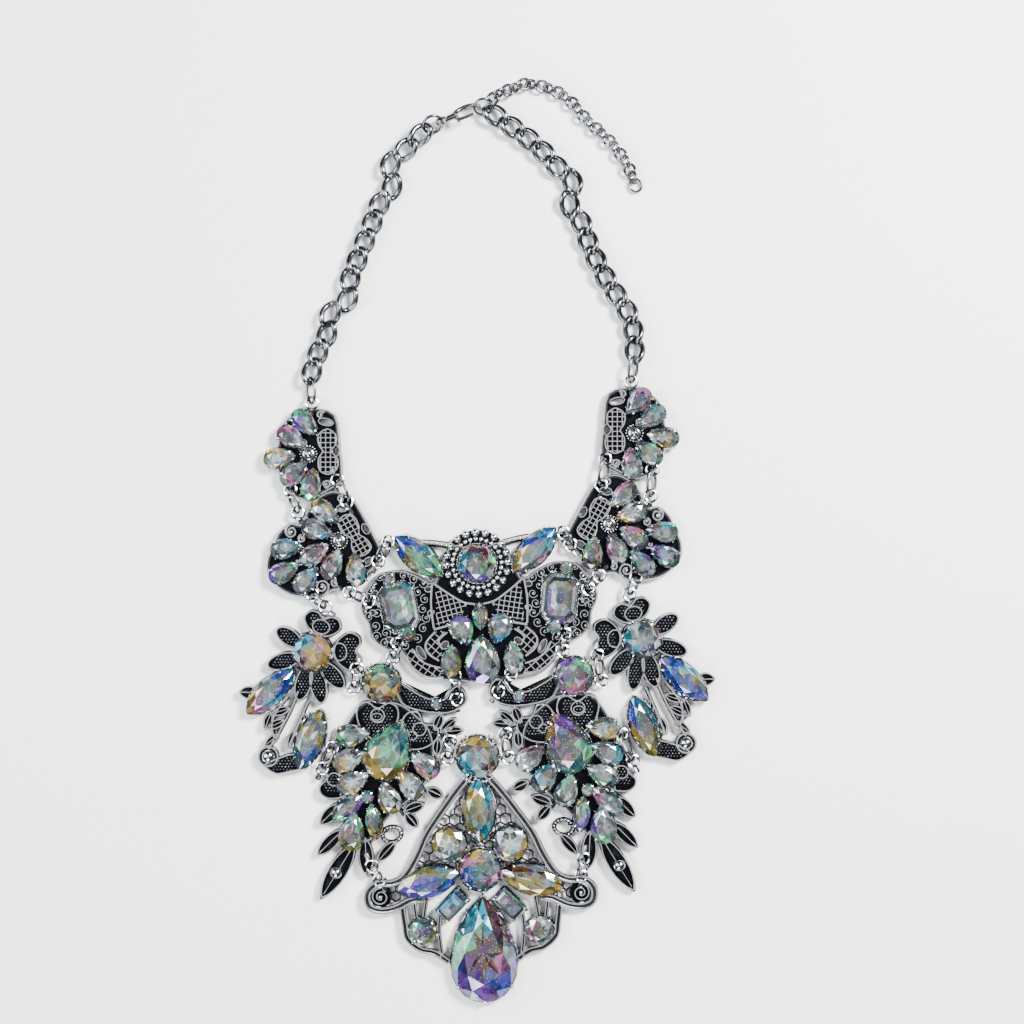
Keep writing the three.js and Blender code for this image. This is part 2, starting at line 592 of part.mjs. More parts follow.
/** Eyelet tab at the height of the jump rings, held by a neck that leaves it at a turn. */
function eyeletSolid(eyelet, turn) {
  const [low, high] = [ringHeight - eyeletThick / 2, ringHeight + eyeletThick / 2];
  const rim = eyeletHole + eyeletRim;
  const half = eyeletNeckWide / 2;
  const hole = prism(placed(ellipse(eyeletHole, eyeletHole, eyeletSides), ...eyelet), low - 1, high + 1);
  const disc = prism(placed(ellipse(rim, rim, eyeletSides), ...eyelet), low, high);
  const start = eyeletHole + eyeletRim / 2;
  const neck = placed([[start, -half], [eyeletNeck, -half], [eyeletNeck, half], [start, half]],
    ...eyelet, turn);
  return disc.add(prism(neck, 0, high)).subtract(hole);
}

/** Eyelets in use on a casting, each with the point that its ring leads to, in its own frame. */
function eyeletsInUse(place) {
  const uses = [];
  ['L', 'R'].forEach((hand) => joints.forEach((joint) => {
    const ends = [[joint.from, joint.eye], [joint.to, joint.eyeTo]];
    ends.forEach(([name, eyelet], i) => {
      if (sided(name, hand) !== place.name) return;
      const [otherName, otherEyelet] = ends[1 - i];
      const other = placeOf(sided(otherName, hand));
      const target = toWorld(other, eyeletPoint(other, otherEyelet, hand));
      const mirrored = place.design.halfOutline && hand === 'R';
      const own = place.design.eyelets[eyelet][2];
      const neck = mirrored && own !== undefined ? 180 - own : own;
      uses.push({ point: eyeletPoint(place, eyelet, hand), other: toOwn(place, target), neck });
    });
  }));
  if (place.design.eyelets.chain) {
    const point = eyeletPoint(place, 'chain', 'L');
    uses.push({ point, other: [point[0], point[1] + 4 * ringHalfWide] });
  }
  return uses;
}

/** Casting with its small stones, and the main stones that sit in its pockets. */
function buildCasting(place) {
  const { design } = place;
  const { reach } = design;
  const rows = castingRows(design);
  const metal = [];
  if (rows.outline) {
    const outline = scaled(rows.outline, reach);
    metal.push(prism(outline, 0, castThick));
  }
  rows.bars.forEach((bar) => metal.push(band(scaled(bar, reach), barWide, 0, castThick)));
  (design.panels ?? []).forEach((panel) => metal.push(prism(scaled(panel, reach), 0, castThick)));
  (design.petals ?? []).forEach((petal) => metal.push(petalSolid(petal, reach)));
  (design.leaves ?? []).forEach((leaf) => metal.push(leafSolid(leaf, reach)));
  rows.discs.forEach(({ x, y, radius, rise }) => {
    const disc = placed(ellipse(radius * reach, radius * reach, discSides), x * reach, y * reach);
    metal.push(prism(disc, 0, castThick + rise * reach));
  });
  const mains = rows.mainStones.map((row) => {
    const sides = stoneSides[row.kind];
    const outline = stoneOutline(row.kind, row.long, row.wide, sides);
    const girdle = placed(outline, row.x * reach, row.y * reach, row.turn);
    metal.push(prism(grown(girdle, seatGap + settingWall), 0, settingTop));
    const stone = cutStone(row.kind, row.long, row.wide, sides);
    const turned = stone.rotate([0, 0, row.turn]).translate([row.x * reach, row.y * reach, 0]);
    const pocket = prism(grown(girdle, seatGap), seatHeight - seatGap, 3 * settingTop);
    return { name: row.name, hand: row.hand, solid: turned, pocket };
  });
  let casting = joined(metal);
  const cuts = rows.lattices.flatMap((lattice) => latticeGaps(lattice, reach));
  rows.gaps.forEach(({ x, y, halfLong, halfWide, turn }) => {
    const gap = placed(ellipse(halfLong * reach, halfWide * reach, 6), x * reach, y * reach, turn);
    cuts.push(prism(gap, -1, 2 * castThick));
  });
  if (cuts.length) casting = casting.subtract(joined(cuts));
  if (design.ringOuter) casting = casting.add(beadRing(design));
  rows.stones.forEach((stone) => {
    casting = casting.add(smallStone(stone, reach));
  });
  const uses = eyeletsInUse(place);
  const ways = uses.map(({ point, other }) => ringWay(point, other));
  ways.forEach(({ solid }) => {
    casting = casting.subtract(solid);
  });
  uses.forEach(({ point, neck }, i) => {
    casting = casting.add(eyeletSolid(point, neck ?? ways[i].turn + 180));
  });
  mains.forEach(({ pocket }) => {
    casting = casting.subtract(pocket);
  });
  return { casting: casting.asOriginal().simplify(mergeWithin), mains };
}

// Materials: antique silver for the castings, brighter plated silver for the chains

const antiqueSilver = () => new THREE.MeshStandardMaterial(
  { color: 0x6f7178, roughness: 0.42, metalness: 1 });
const brightSilver = () => new THREE.MeshStandardMaterial(
  { color: 0xa9abaf, roughness: 0.25, metalness: 1 });
const crystal = () => new THREE.MeshStandardMaterial(
  { color: 0xa8d8d0, roughness: 0.05, metalness: 0.3 });

const necklace = new THREE.Group();

/** Adds a solid to a group as a named mesh. */
function addNode(parent, name, solid, material) {
  const mesh = solid.getMesh();
  const geometry = new THREE.BufferGeometry();
  geometry.setAttribute('position', new THREE.BufferAttribute(mesh.vertProperties, 3));
  geometry.setIndex(new THREE.BufferAttribute(mesh.triVerts, 1));
  geometry.computeVertexNormals();
  const node = new THREE.Mesh(geometry, material);
  node.name = name;
  parent.add(node);
  return node;
}

places.forEach((place) => {
  const group = new THREE.Group();
  group.position.set(place.x * bibHalfWide, place.y * bibTall, 0);
  group.rotation.z = radians(place.turn);
  group.scale.x = place.side;
  necklace.add(group);
  const { casting, mains } = buildCasting(place);
  addNode(group, place.name, casting, antiqueSilver());
  const hand = place.name.endsWith('_L') ? '_L' : place.name.endsWith('_R') ? '_R' : '';
  mains.forEach((stone) => {
    const suffix = stone.hand ? `_${stone.hand}` : hand;
    addNode(group, `${stone.name}${suffix}`, stone.solid, crystal());
  });
});

/** Jump ring between two points, rolled about the line that joins them. */
function addRing(name, from, to, halfWide, wire, roll) {
  const [start, end] = [new THREE.Vector3(...from), new THREE.Vector3(...to)];
  const along = new THREE.Vector3().subVectors(end, start);
  const solid = linkSolid(Math.max(halfWide, along.length() / 2), halfWide, wire);
  const ring = addNode(necklace, name, solid, brightSilver());
  ring.position.addVectors(start, end).multiplyScalar(0.5);
  ring.rotation.set(radians(roll), Math.asin(-along.z / along.length()),
    Math.atan2(along.y, along.x), 'ZYX');
}

['L', 'R'].forEach((hand) => joints.forEach(({ name, from, eye, to, eyeTo }) => {
  const [first, second] = [placeOf(sided(from, hand)), placeOf(sided(to, hand))];
  const start = toWorld(first, eyeletPoint(first, eye, hand));
  const end = toWorld(second, eyeletPoint(second, eyeTo, hand));
  const roll = hand === 'L' ? ringTilt : -ringTilt;
  addRing(`${name}_${hand}`, [...start, ringHeight], [...end, ringHeight], ringHalfWide, ringWire, roll);
}));

// Clasp: the ring on the left chain, the hook and its lever, the ring that joins the right chain

const claspAlong = new THREE.Vector3(Math.cos(radians(claspYaw)), Math.sin(radians(claspYaw)), 0);
const claspRingCentre = new THREE.Vector3(claspRingPlace.x, claspRingPlace.y, claspHeight);
const claspEye = claspRingCentre.clone().addScaledVector(claspAlong, claspRingRadius);
const hookMiddle = claspLong - hookHalfLong;
const leverPivot = { x: hookMiddle - 0.7 * hookHalfLong, y: -(hookHalfWide - leverWide / 2) };
const leverRange = 24;

/** Outline of the lever at its pivot. */
function leverOutline() {
  const half = leverWide / 2;
  return [[-leverPivotRadius, -half], [0, -leverPivotRadius], [leverPivotRadius, -half],
    [leverLong, -half], [leverLong + half / 2, 0], [leverLong, half], [leverPivotRadius, half],
    [0, leverPivotRadius], [-leverPivotRadius, half]];
}

/** Hook of the clasp with its eye, its long side along X. */
function claspBody() {
  const half = claspThick / 2;
  const eye = prism(ellipse(claspEyeRadius, claspEyeRadius, 12), -half, half);
  const hole = prism(ellipse(claspEyeHole, claspEyeHole, 10), -2 * half, 2 * half);
  const neck = prism([[claspEyeHole + 0.2, -1.1], [hookMiddle - hookHalfLong + hookWire, -1.5],
    [hookMiddle - hookHalfLong + hookWire, 1.5], [claspEyeHole + 0.2, 1.1]], -half, half);
  const outer = ellipse(hookHalfLong, hookHalfWide, 16);
  const inner = ellipse(hookHalfLong - hookWire, hookHalfWide - hookWire, 16);
  const oval = prism(placed(outer, hookMiddle, 0), -half, half);
  const room = [prism(placed(inner, hookMiddle, 0), -2 * half, 2 * half)];
  const lever = grown(leverOutline(), leverGap);
  for (let angle = 0; angle <= leverRange; angle += leverRange / 3) {
    room.push(prism(placed(lever, leverPivot.x, leverPivot.y, angle), -2 * half, 2 * half));
  }
  return eye.add(neck).add(oval).subtract(joined([hole, ...room]));
}

const clasp = new THREE.Group();
clasp.position.copy(claspEye);
clasp.rotation.set(radians(claspRoll), 0, radians(claspYaw), 'ZYX');
necklace.add(clasp);
addNode(clasp, 'clasp_body', claspBody(), brightSilver());
const leverHalf = claspThick / 2 - leverGap / 2;
addNode(clasp, 'clasp_lever',
  prism(placed(leverOutline(), leverPivot.x, leverPivot.y), -leverHalf, leverHalf), brightSilver());

const claspRing = addNode(necklace, 'clasp_ring',
  linkSolid(claspRingRadius, claspRingRadius, claspRingWire), brightSilver());
claspRing.position.copy(claspRingCentre);
claspRing.rotation.set(radians(-claspRoll), 0, radians(claspYaw), 'ZYX');

const endRingAt = claspLong - hookWire - leverGap - endRingWire / 2;
const endRingYaw = 12;
const endRingAlong = new THREE.Vector3(Math.cos(radians(endRingYaw)), Math.sin(radians(endRingYaw)), 0);
const endRingCentre = claspEye.clone().addScaledVector(claspAlong, endRingAt)
  .addScaledVector(endRingAlong, endRingRadius);
const endRing = addNode(necklace, 'end_ring',
  linkSolid(endRingRadius, endRingRadius, endRingWire), brightSilver());
endRing.position.copy(endRingCentre);
endRing.rotation.set(radians(-claspRoll), 0, radians(endRingYaw), 'ZYX');

/** Point of the end ring's wire at an angle round it. */
function onEndRing(angle) {
  const point = new THREE.Vector3(Math.cos(radians(angle)), Math.sin(radians(angle)), 0);
  return point.multiplyScalar(endRingRadius).applyEuler(endRing.rotation).add(endRingCentre);
}

// Chains

const curbPitch = 2 * curbHalfLong - curbWire + curbBite;
const curbFirst = curbHalfLong - curbWire / 2 - ringClearance;

/** Neck chain and the jump ring that hangs its casting. */
function addNeckChain(name, hand, start, firstStep, twist) {
  const link = linkSolid(curbHalfLong, curbHalfWide, curbWire, twist);
  const plate = placeOf(`upper_plate_${hand}`);
  const eyelet = toWorld(plate, eyeletPoint(plate, 'chain', hand));
  const reach = curbHalfLong + 2 * ringHalfWide;
  const all = linkCentres(start, chainRoutes[name], firstStep, curbPitch);
  const centres = all.filter((c) => Math.hypot(c.x - eyelet[0], c.y - eyelet[1]) > reach
    && c.y > eyelet[1]);
  addNode(necklace, `neck_chain_${name}`, chainSolid(link, centres), brightSilver());
  const last = centres.at(-1);
  const along = new THREE.Vector3().subVectors(last, centres.at(-2)).normalize();
  const inLink = last.clone().addScaledVector(along, curbFirst - ringWire / 2);
  addRing(`ring_chain_${hand}`, inLink.toArray(), [...eyelet, ringHeight],
    ringHalfWide, ringWire, twist > 0 ? -ringTilt : ringTilt);
}

addNeckChain('left', 'L', claspRingCentre,
  claspRingRadius - claspRingWire / 2 + curbFirst, -curbTwist);
addNeckChain('right', 'R', onEndRing(-34), curbFirst - endRingWire / 2, curbTwist);


/** Extender chain as the tube that its small links fill. */
function extenderTube() {
  const start = onEndRing(extenderAngle);
  const route = chainRoutes.extender.map((point) => new THREE.Vector3(...point));
  const aside = new THREE.Vector3().subVectors(route[0], start).normalize();
  const first = start.clone().addScaledVector(aside, endRingWire / 2 + ringClearance);
  const curve = new THREE.CatmullRomCurve3([first, ...route], false, 'centripetal');
  const section = ellipse(cableHalfWide + cableWire / 2, cableHalfWide + cableWire / 2, cableSides);
  const shape = new THREE.Shape(section.map(([x, y]) => new THREE.Vector2(x, y)));
  return solidOf(new THREE.ExtrudeGeometry(shape,
    { steps: cableSteps, bevelEnabled: false, extrudePath: curve }));
}

addNode(necklace, 'extender_chain', extenderTube(), brightSilver());

// The necklace's own frame: its middle in plan, on the surface that it lies on
necklace.updateMatrixWorld(true);
const bounds = new THREE.Box3().setFromObject(necklace, true);
const middle = bounds.getCenter(new THREE.Vector3());
necklace.position.set(-middle.x, -middle.y, -bounds.min.z);

export default necklace;
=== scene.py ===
"""Bib necklace of cast openwork castings set with cut stones, lying on a pale surface."""

import logging
import math
import random
from dataclasses import dataclass, field
from enum import Enum

import bmesh
import bpy
from mathutils import Matrix, Vector
from mathutils.geometry import tessellate_polygon


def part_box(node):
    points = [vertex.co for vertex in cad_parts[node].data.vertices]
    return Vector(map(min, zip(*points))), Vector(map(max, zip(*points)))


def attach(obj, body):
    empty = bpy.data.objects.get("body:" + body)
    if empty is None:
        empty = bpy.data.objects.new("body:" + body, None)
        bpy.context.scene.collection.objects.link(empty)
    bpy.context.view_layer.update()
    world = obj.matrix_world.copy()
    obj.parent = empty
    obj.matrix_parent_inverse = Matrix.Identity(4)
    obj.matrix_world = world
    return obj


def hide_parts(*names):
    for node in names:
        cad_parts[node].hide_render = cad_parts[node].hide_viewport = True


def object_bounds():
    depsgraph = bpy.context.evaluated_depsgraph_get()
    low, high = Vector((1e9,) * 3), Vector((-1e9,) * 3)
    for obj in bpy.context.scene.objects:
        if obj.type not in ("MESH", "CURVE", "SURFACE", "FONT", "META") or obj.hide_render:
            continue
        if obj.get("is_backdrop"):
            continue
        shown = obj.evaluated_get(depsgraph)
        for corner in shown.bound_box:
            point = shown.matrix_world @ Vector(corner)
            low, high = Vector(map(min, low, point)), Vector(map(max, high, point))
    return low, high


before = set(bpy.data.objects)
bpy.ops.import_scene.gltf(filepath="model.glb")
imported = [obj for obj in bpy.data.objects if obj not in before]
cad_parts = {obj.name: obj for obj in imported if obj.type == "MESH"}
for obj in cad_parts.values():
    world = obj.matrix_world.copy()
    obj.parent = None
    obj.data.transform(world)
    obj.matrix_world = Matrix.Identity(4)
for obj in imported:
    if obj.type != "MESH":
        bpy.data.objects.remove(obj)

LOG = logging.getLogger("bib_necklace")
MM = 0.001

Point2 = tuple[float, float]
Point3 = tuple[float, float, float]

# Heights in millimetres: a casting's back and its ground, as the solids have them, and the
# middles of the wires in its fields, of its raised wires and of its rims and eyelets
BACK = 0.05
GROUND = 1.5
FIELD = 2.2
WIRE = 2.35
RIM = 2.45


class Kind(Enum):
    """Cuts of the stones."""

    ROUND = "round"
    PEAR = "pear"
    MARQUISE = "marquise"
    OCTAGON = "octagon"


class Side(Enum):
    """Hand of a casting: the right ones mirror the left ones."""

    LEFT = 1
    RIGHT = -1


# Finishes


@dataclass
class Graph:
    """A node tree, and short ways to add to it."""

    tree: bpy.types.NodeTree

    def add(self, kind: str, inputs: dict | None = None, **settings: object) -> bpy.types.Node:
        """Adds a node.

        Args:
            kind: Type of the node.
            inputs: Value or source of each input, by its name or place.
            settings: Properties of the node.

        Returns:
            The node.
        """
        node = self.tree.nodes.new(kind)
        for name, value in settings.items():
            setattr(node, name, value)
        self.feed(node, inputs or {})
        return node

    def feed(self, node: bpy.types.Node, inputs: dict) -> None:
        """Sets inputs, by name or place, to values, or links them to their sources."""
        for name, value in inputs.items():
            if isinstance(value, bpy.types.NodeSocket):
                self.tree.links.new(value, node.inputs[name])
            else:
                node.inputs[name].default_value = value

    def math(self, operation: str, *values: object) -> bpy.types.NodeSocket:
        """Result of an operation on values or sockets."""
        return self.add("ShaderNodeMath", dict(enumerate(values)), operation=operation).outputs[0]

    def vary(self, low: object, high: object, seed: bpy.types.NodeSocket) -> bpy.types.NodeSocket:
        """Random number between two values or sockets, for each element, from a seed."""
        node = self.add("FunctionNodeRandomValue", {"Seed": seed}, data_type="FLOAT")
        places = [i for i, socket in enumerate(node.inputs) if socket.type == "VALUE"]
        self.feed(node, {places[0]: low, places[1]: high})
        return next(socket for socket in node.outputs if socket.type == "VALUE")

    def ranged(self, value: bpy.types.NodeSocket, low: float, high: float, start: float = 0.0,
               end: float = 1.0) -> bpy.types.NodeSocket:
        """Number that goes from low to high while a value goes from start to end."""
        return self.add("ShaderNodeMapRange", {
            "Value": value, "From Min": start, "From Max": end, "To Min": low, "To Max": high,
        }).outputs["Result"]

    def ramp(self, value: bpy.types.NodeSocket, stops: list,
             blend: str = "LINEAR") -> bpy.types.NodeSocket:
        """Colour that follows a value.

        Args:
            value: The value.
            stops: Places from 0 to 1 and their colours, in order.
            blend: How colours run into each other.

        Returns:
            The colour.
        """
        node = self.add("ShaderNodeValToRGB", {0: value})
        band = node.color_ramp
        band.interpolation = blend
        for element, (place, colour) in zip(band.elements, (stops[0], stops[-1])):
            element.position, element.color = place, colour
        for place, colour in stops[1:-1]:
            band.elements.new(place).color = colour
        return node.outputs["Color"]

    def noise(self, place: bpy.types.NodeSocket, scale: float,
              detail: float) -> bpy.types.NodeSocket:
        """Noise at a place, from its scale in repeats a metre and its octaves."""
        inputs = {"Vector": place, "Scale": scale, "Detail": detail}
        return self.add("ShaderNodeTexNoise", inputs).outputs["Fac"]

    def bump(self, value: bpy.types.NodeSocket, strength: float,
             depth: float) -> bpy.types.NodeSocket:
        """Normal that follows a height, from the bump's strength and its depth in metres."""
        inputs = {"Height": value, "Strength": strength, "Distance": depth}
        return self.add("ShaderNodeBump", inputs).outputs["Normal"]


@dataclass(frozen=True)
class Finish:
    """A finish that builds its own node material."""

    name: str = "finish"

    def build(self) -> bpy.types.Material:
        """Builds the node material."""
        material = bpy.data.materials.new(self.name)
        material.use_nodes = True
        graph = Graph(material.node_tree)
        place = graph.add("ShaderNodeTexCoord").outputs["Object"]
        shader = material.node_tree.nodes["Principled BSDF"]
        graph.feed(shader, self.dress(graph, place))
        return material

    def dress(self, graph: Graph, place: bpy.types.NodeSocket) -> dict:
        """Says what goes into the shader: the value or source of each of its inputs."""
        raise NotImplementedError


@dataclass(frozen=True)
class CastSilver(Finish):
    """Antique silver: dark oxide low down, polished bright on what stands up."""

    name: str = "antique_silver"
    dark: tuple = (0.006, 0.0065, 0.009, 1.0)
    middle: tuple = (0.07, 0.073, 0.085, 1.0)
    bright: tuple = (0.46, 0.47, 0.49, 1.0)
    stops: Point3 = (0.18, 0.48, 0.8)
    low: float = 1.75
    high: float = 2.6
    stain: float = 0.45
    shift: float = -0.22
    rough: Point2 = (0.4, 0.16)

    def dress(self, graph: Graph, place: bpy.types.NodeSocket) -> dict:
        """Darkens the silver by its height, with a stain over it; see Finish.dress."""
        z = graph.add("ShaderNodeSeparateXYZ", {0: place}).outputs["Z"]
        height = graph.ranged(z, 0.0, 1.0, self.low * MM, self.high * MM)
        stain = graph.math("MULTIPLY_ADD", graph.noise(place, 520.0, 4.0), self.stain, self.shift)
        total = graph.math("ADD", height, stain)
        colours = (self.dark, self.middle, self.bright)
        return {"Metallic": 1.0,
                "Base Color": graph.ramp(total, list(zip(self.stops, colours))),
                "Roughness": graph.ranged(total, *self.rough),
                "Normal": graph.bump(graph.noise(place, 1900.0, 3.0), 0.25, 0.00005)}


@dataclass(frozen=True)
class ChainSilver(Finish):
    """Polished silver plate with a faint grey bloom."""

    name: str = "plated_silver"
    pale: tuple = (0.17, 0.178, 0.195, 1.0)
    grey: tuple = (0.03, 0.032, 0.04, 1.0)
    stops: Point2 = (0.28, 0.55)
    rough: Point2 = (0.3, 0.14)

    def dress(self, graph: Graph, place: bpy.types.NodeSocket) -> dict:
        """Lets a bloom grey the plate; see Finish.dress."""
        bloom = graph.noise(place, 260.0, 3.0)
        return {"Metallic": 1.0,
                "Base Color": graph.ramp(bloom, list(zip(self.stops, (self.grey, self.pale)))),
                "Roughness": graph.ranged(bloom, *self.rough),
                "Normal": graph.bump(graph.noise(place, 2400.0, 2.0), 0.1, 0.00002)}


@dataclass(frozen=True)
class CrystalFinish(Finish):
    """Iridescent coated crystal: each facet carries its own colour in an attribute, with painted
    light and painted glints laid over it.
    """

    name: str = "crystal"
    attribute: str = "facet"
    cells: float = 480.0
    # Painted glints: how many white dots a metre are laid on the crystal's colour, and how large
    # they are
    painted_glint_scale: float = 1500.0
    painted_glint_size: float = 0.11
    tint_share: float = 0.13
    # Painted light: each cell's colour is scaled between these, darker or brighter
    light: Point2 = (0.45, 1.5)
    rough: Point2 = (0.03, 0.16)
    tints: tuple = ((0.22, 0.26, 0.27, 1.0), (0.02, 0.2, 0.26, 1.0), (0.3, 0.22, 0.03, 1.0),
                    (0.07, 0.05, 0.3, 1.0), (0.42, 0.14, 0.24, 1.0), (0.02, 0.025, 0.03, 1.0))

    def dress(self, graph: Graph, place: bpy.types.NodeSocket) -> dict:
        """Breaks each facet's colour into cells, which tint it and darken or brighten it as painted
        light, and sets painted white glints on it; see Finish.dress.
        """
        facet = graph.add("ShaderNodeAttribute", attribute_name=self.attribute).outputs["Color"]
        cells = graph.add("ShaderNodeTexVoronoi", {"Vector": place, "Scale": self.cells})
        parts = graph.add("ShaderNodeSeparateColor", {0: cells.outputs["Color"]}).outputs
        steps = [(i / len(self.tints), colour) for i, colour in enumerate(self.tints)]
        blend = graph.add("ShaderNodeMix", data_type="RGBA")
        graph.feed(blend, {"Factor": self.tint_share, "A": facet,
                           "B": graph.ramp(parts[1], steps, "CONSTANT")})
        # Painted light: the cells darken or brighten the tinted colour
        lit = graph.add("ShaderNodeVectorMath", operation="SCALE")
        graph.feed(lit, {0: blend.outputs["Result"], "Scale": graph.ranged(parts[0], *self.light)})
        # Painted glints: white dots where these cells' middles are near, laid over the colour
        painted_glint_cells = graph.add("ShaderNodeTexVoronoi", {"Vector": place, "Scale": self.painted_glint_scale})
        near = graph.math("LESS_THAN", painted_glint_cells.outputs["Distance"], self.painted_glint_size)
        final = graph.add("ShaderNodeMix", data_type="RGBA")
        graph.feed(final, {"Factor": near, "A": lit.outputs[0], "B": (1.0, 1.0, 1.0, 1.0)})
        return {"Metallic": 0.6, "Coat Weight": 1.0, "Coat Roughness": 0.02, "IOR": 1.7,
                "Base Color": final.outputs["Result"],
                "Roughness": graph.ranged(parts[2], *self.rough)}


@dataclass(frozen=True)
class FloorFinish(Finish):
    """Plain pale surface."""

    name: str = "pale_floor"
    colour: tuple = (0.93, 0.935, 0.93, 1.0)
    rough: Point2 = (0.5, 0.62)

    def dress(self, graph: Graph, place: bpy.types.NodeSocket) -> dict:
        """Gives the floor one pale colour and a faint change of gloss; see Finish.dress."""
        return {"Base Color": self.colour,
                "Roughness": graph.ranged(graph.noise(place, 60.0, 2.0), *self.rough)}


# Plane shapes, in millimetres


def turned(points: list, x: float, y: float, degrees: float) -> list:
    """Turns points counter-clockwise about the origin, then moves them by x and y."""
    c, s = math.cos(math.radians(degrees)), math.sin(math.radians(degrees))
    return [(x + px * c - py * s, y + px * s + py * c) for px, py in points]


def mirrored(points: list, hand: int) -> list:
    """Leaves points as they are for hand 1, and mirrors them left to right for hand -1."""
    return [(hand * x, y) for x, y in points]


def ellipse(half_long: float, half_wide: float, sides: int) -> list:
    """Points of an ellipse, its long half along X, from half lengths and a count of sides."""
    turn = 2 * math.pi / sides
    return [(half_long * math.cos(i * turn), half_wide * math.sin(i * turn)) for i in range(sides)]


def smooth(points: list, per_side: int = 4, closed: bool = True) -> list:
    """Rounds a line of points with a spline through them.

    Args:
        points: The given points.
        per_side: Points made for each stretch.
        closed: Whether the line closes on itself.

    Returns:
        The rounded points.
    """
    count = len(points)
    stretches = count if closed else count - 1
    result = []
    for i in range(stretches):
        if closed:
            p = [points[(i + k - 1) % count] for k in range(4)]
        else:
            p = [points[min(max(i + k - 1, 0), count - 1)] for k in range(4)]
        for step in range(per_side):
            t = step / per_side
            result.append(tuple(0.5 * (2 * p[1][a] + (p[2][a] - p[0][a]) * t
                                       + (2 * p[0][a] - 5 * p[1][a] + 4 * p[2][a] - p[3][a]) * t * t
                                       + (3 * p[1][a] - p[0][a] - 3 * p[2][a] + p[3][a]) * t ** 3)
                                for a in range(len(p[1]))))
    if not closed:
        result.append(tuple(points[-1]))
    return result


def stone_outline(kind: Kind, long: float, wide: float, sides: int = 16) -> list:
    """Girdle of a stone, its point or long side towards +X.

    Args:
        kind: Cut of the stone.
        long: Length.
        wide: Width.
        sides: Sides of the girdle.

    Returns:
        The outline's points.
    """
    if kind is Kind.OCTAGON:
        cut, a, b = (0.23 if long < 1.6 * wide else 0.1) * wide, long / 2, wide / 2
        return [(a, -b + cut), (a, b - cut), (a - cut, b), (-a + cut, b),
                (-a, b - cut), (-a, -b + cut), (-a + cut, -b), (a - cut, -b)]
    points = []
    for i, (x, y) in enumerate(ellipse(long / 2, wide / 2, sides)):
        t = 2 * math.pi * i / sides
        waist = {Kind.ROUND: 1.0, Kind.MARQUISE: abs(math.sin(t)) ** 0.45,
                 Kind.PEAR: math.sin(t / 2) ** 0.65 / 0.83}[kind]
        points.append((x, y * waist))
    return points


def grown(points: list, by: float) -> list:
    """Moves a counter-clockwise outline outwards by a distance, or inwards if negative."""
    result = []
    count = len(points)
    for i, (x, y) in enumerate(points):
        before, after = points[i - 1], points[(i + 1) % count]
        a = Vector((x - before[0], y - before[1])).normalized()
        b = Vector((after[0] - x, after[1] - y)).normalized()
        side = (a + b).normalized()
        half = max(0.6, abs(side.dot(b)))
        result.append((x + side.y * by / half, y - side.x * by / half))
    return result


def shrunk(points: list, share: float) -> list:
    """Scales an outline about its own middle by a share."""
    x = sum(p[0] for p in points) / len(points)
    y = sum(p[1] for p in points) / len(points)
    return [(x + (px - x) * share, y + (py - y) * share) for px, py in points]


def box_of(points: list) -> tuple:
    """Lowest and highest corner of the box round an outline."""
    xs, ys = zip(*points)
    return (min(xs), min(ys)), (max(xs), max(ys))


def staggered(low: Point2, high: Point2, wide: float, tall: float) -> list:
    """Points from one corner to the other, in rows of which every other one is shifted by half.

    Args:
        low: Lowest corner.
        high: Highest corner.
        wide: Distance between the points of a row.
        tall: Distance between the rows.

    Returns:
        The points.
    """
    points, row, y = [], 0, low[1]
    while y <= high[1]:
        x = low[0] + (wide / 2 if row % 2 else 0)
        while x <= high[0]:
            points.append((x, y))
            x += wide
        y += tall
        row += 1
    return points


def counter_clockwise(points: list) -> list:
    """Returns an outline in counter-clockwise order."""
    area = sum(a[0] * b[1] - b[0] * a[1] for a, b in zip(points, points[1:] + points[:1]))
    return points if area > 0 else points[::-1]


# Solid shapes


def between(rings: int, size: int, closed: bool) -> list:
    """Faces between rings of points that follow each other.

    Args:
        rings: Count of the rings.
        size: Points of each ring.
        closed: Whether the last ring joins the first.

    Returns:
        The faces, ring by ring.
    """
    faces = []
    for ring in range(rings if closed else rings - 1):
        a, b = ring * size, (ring + 1) % rings * size
        for k in range(size):
            m = (k + 1) % size
            faces.append((a + k, a + m, b + m, b + k))
    return faces


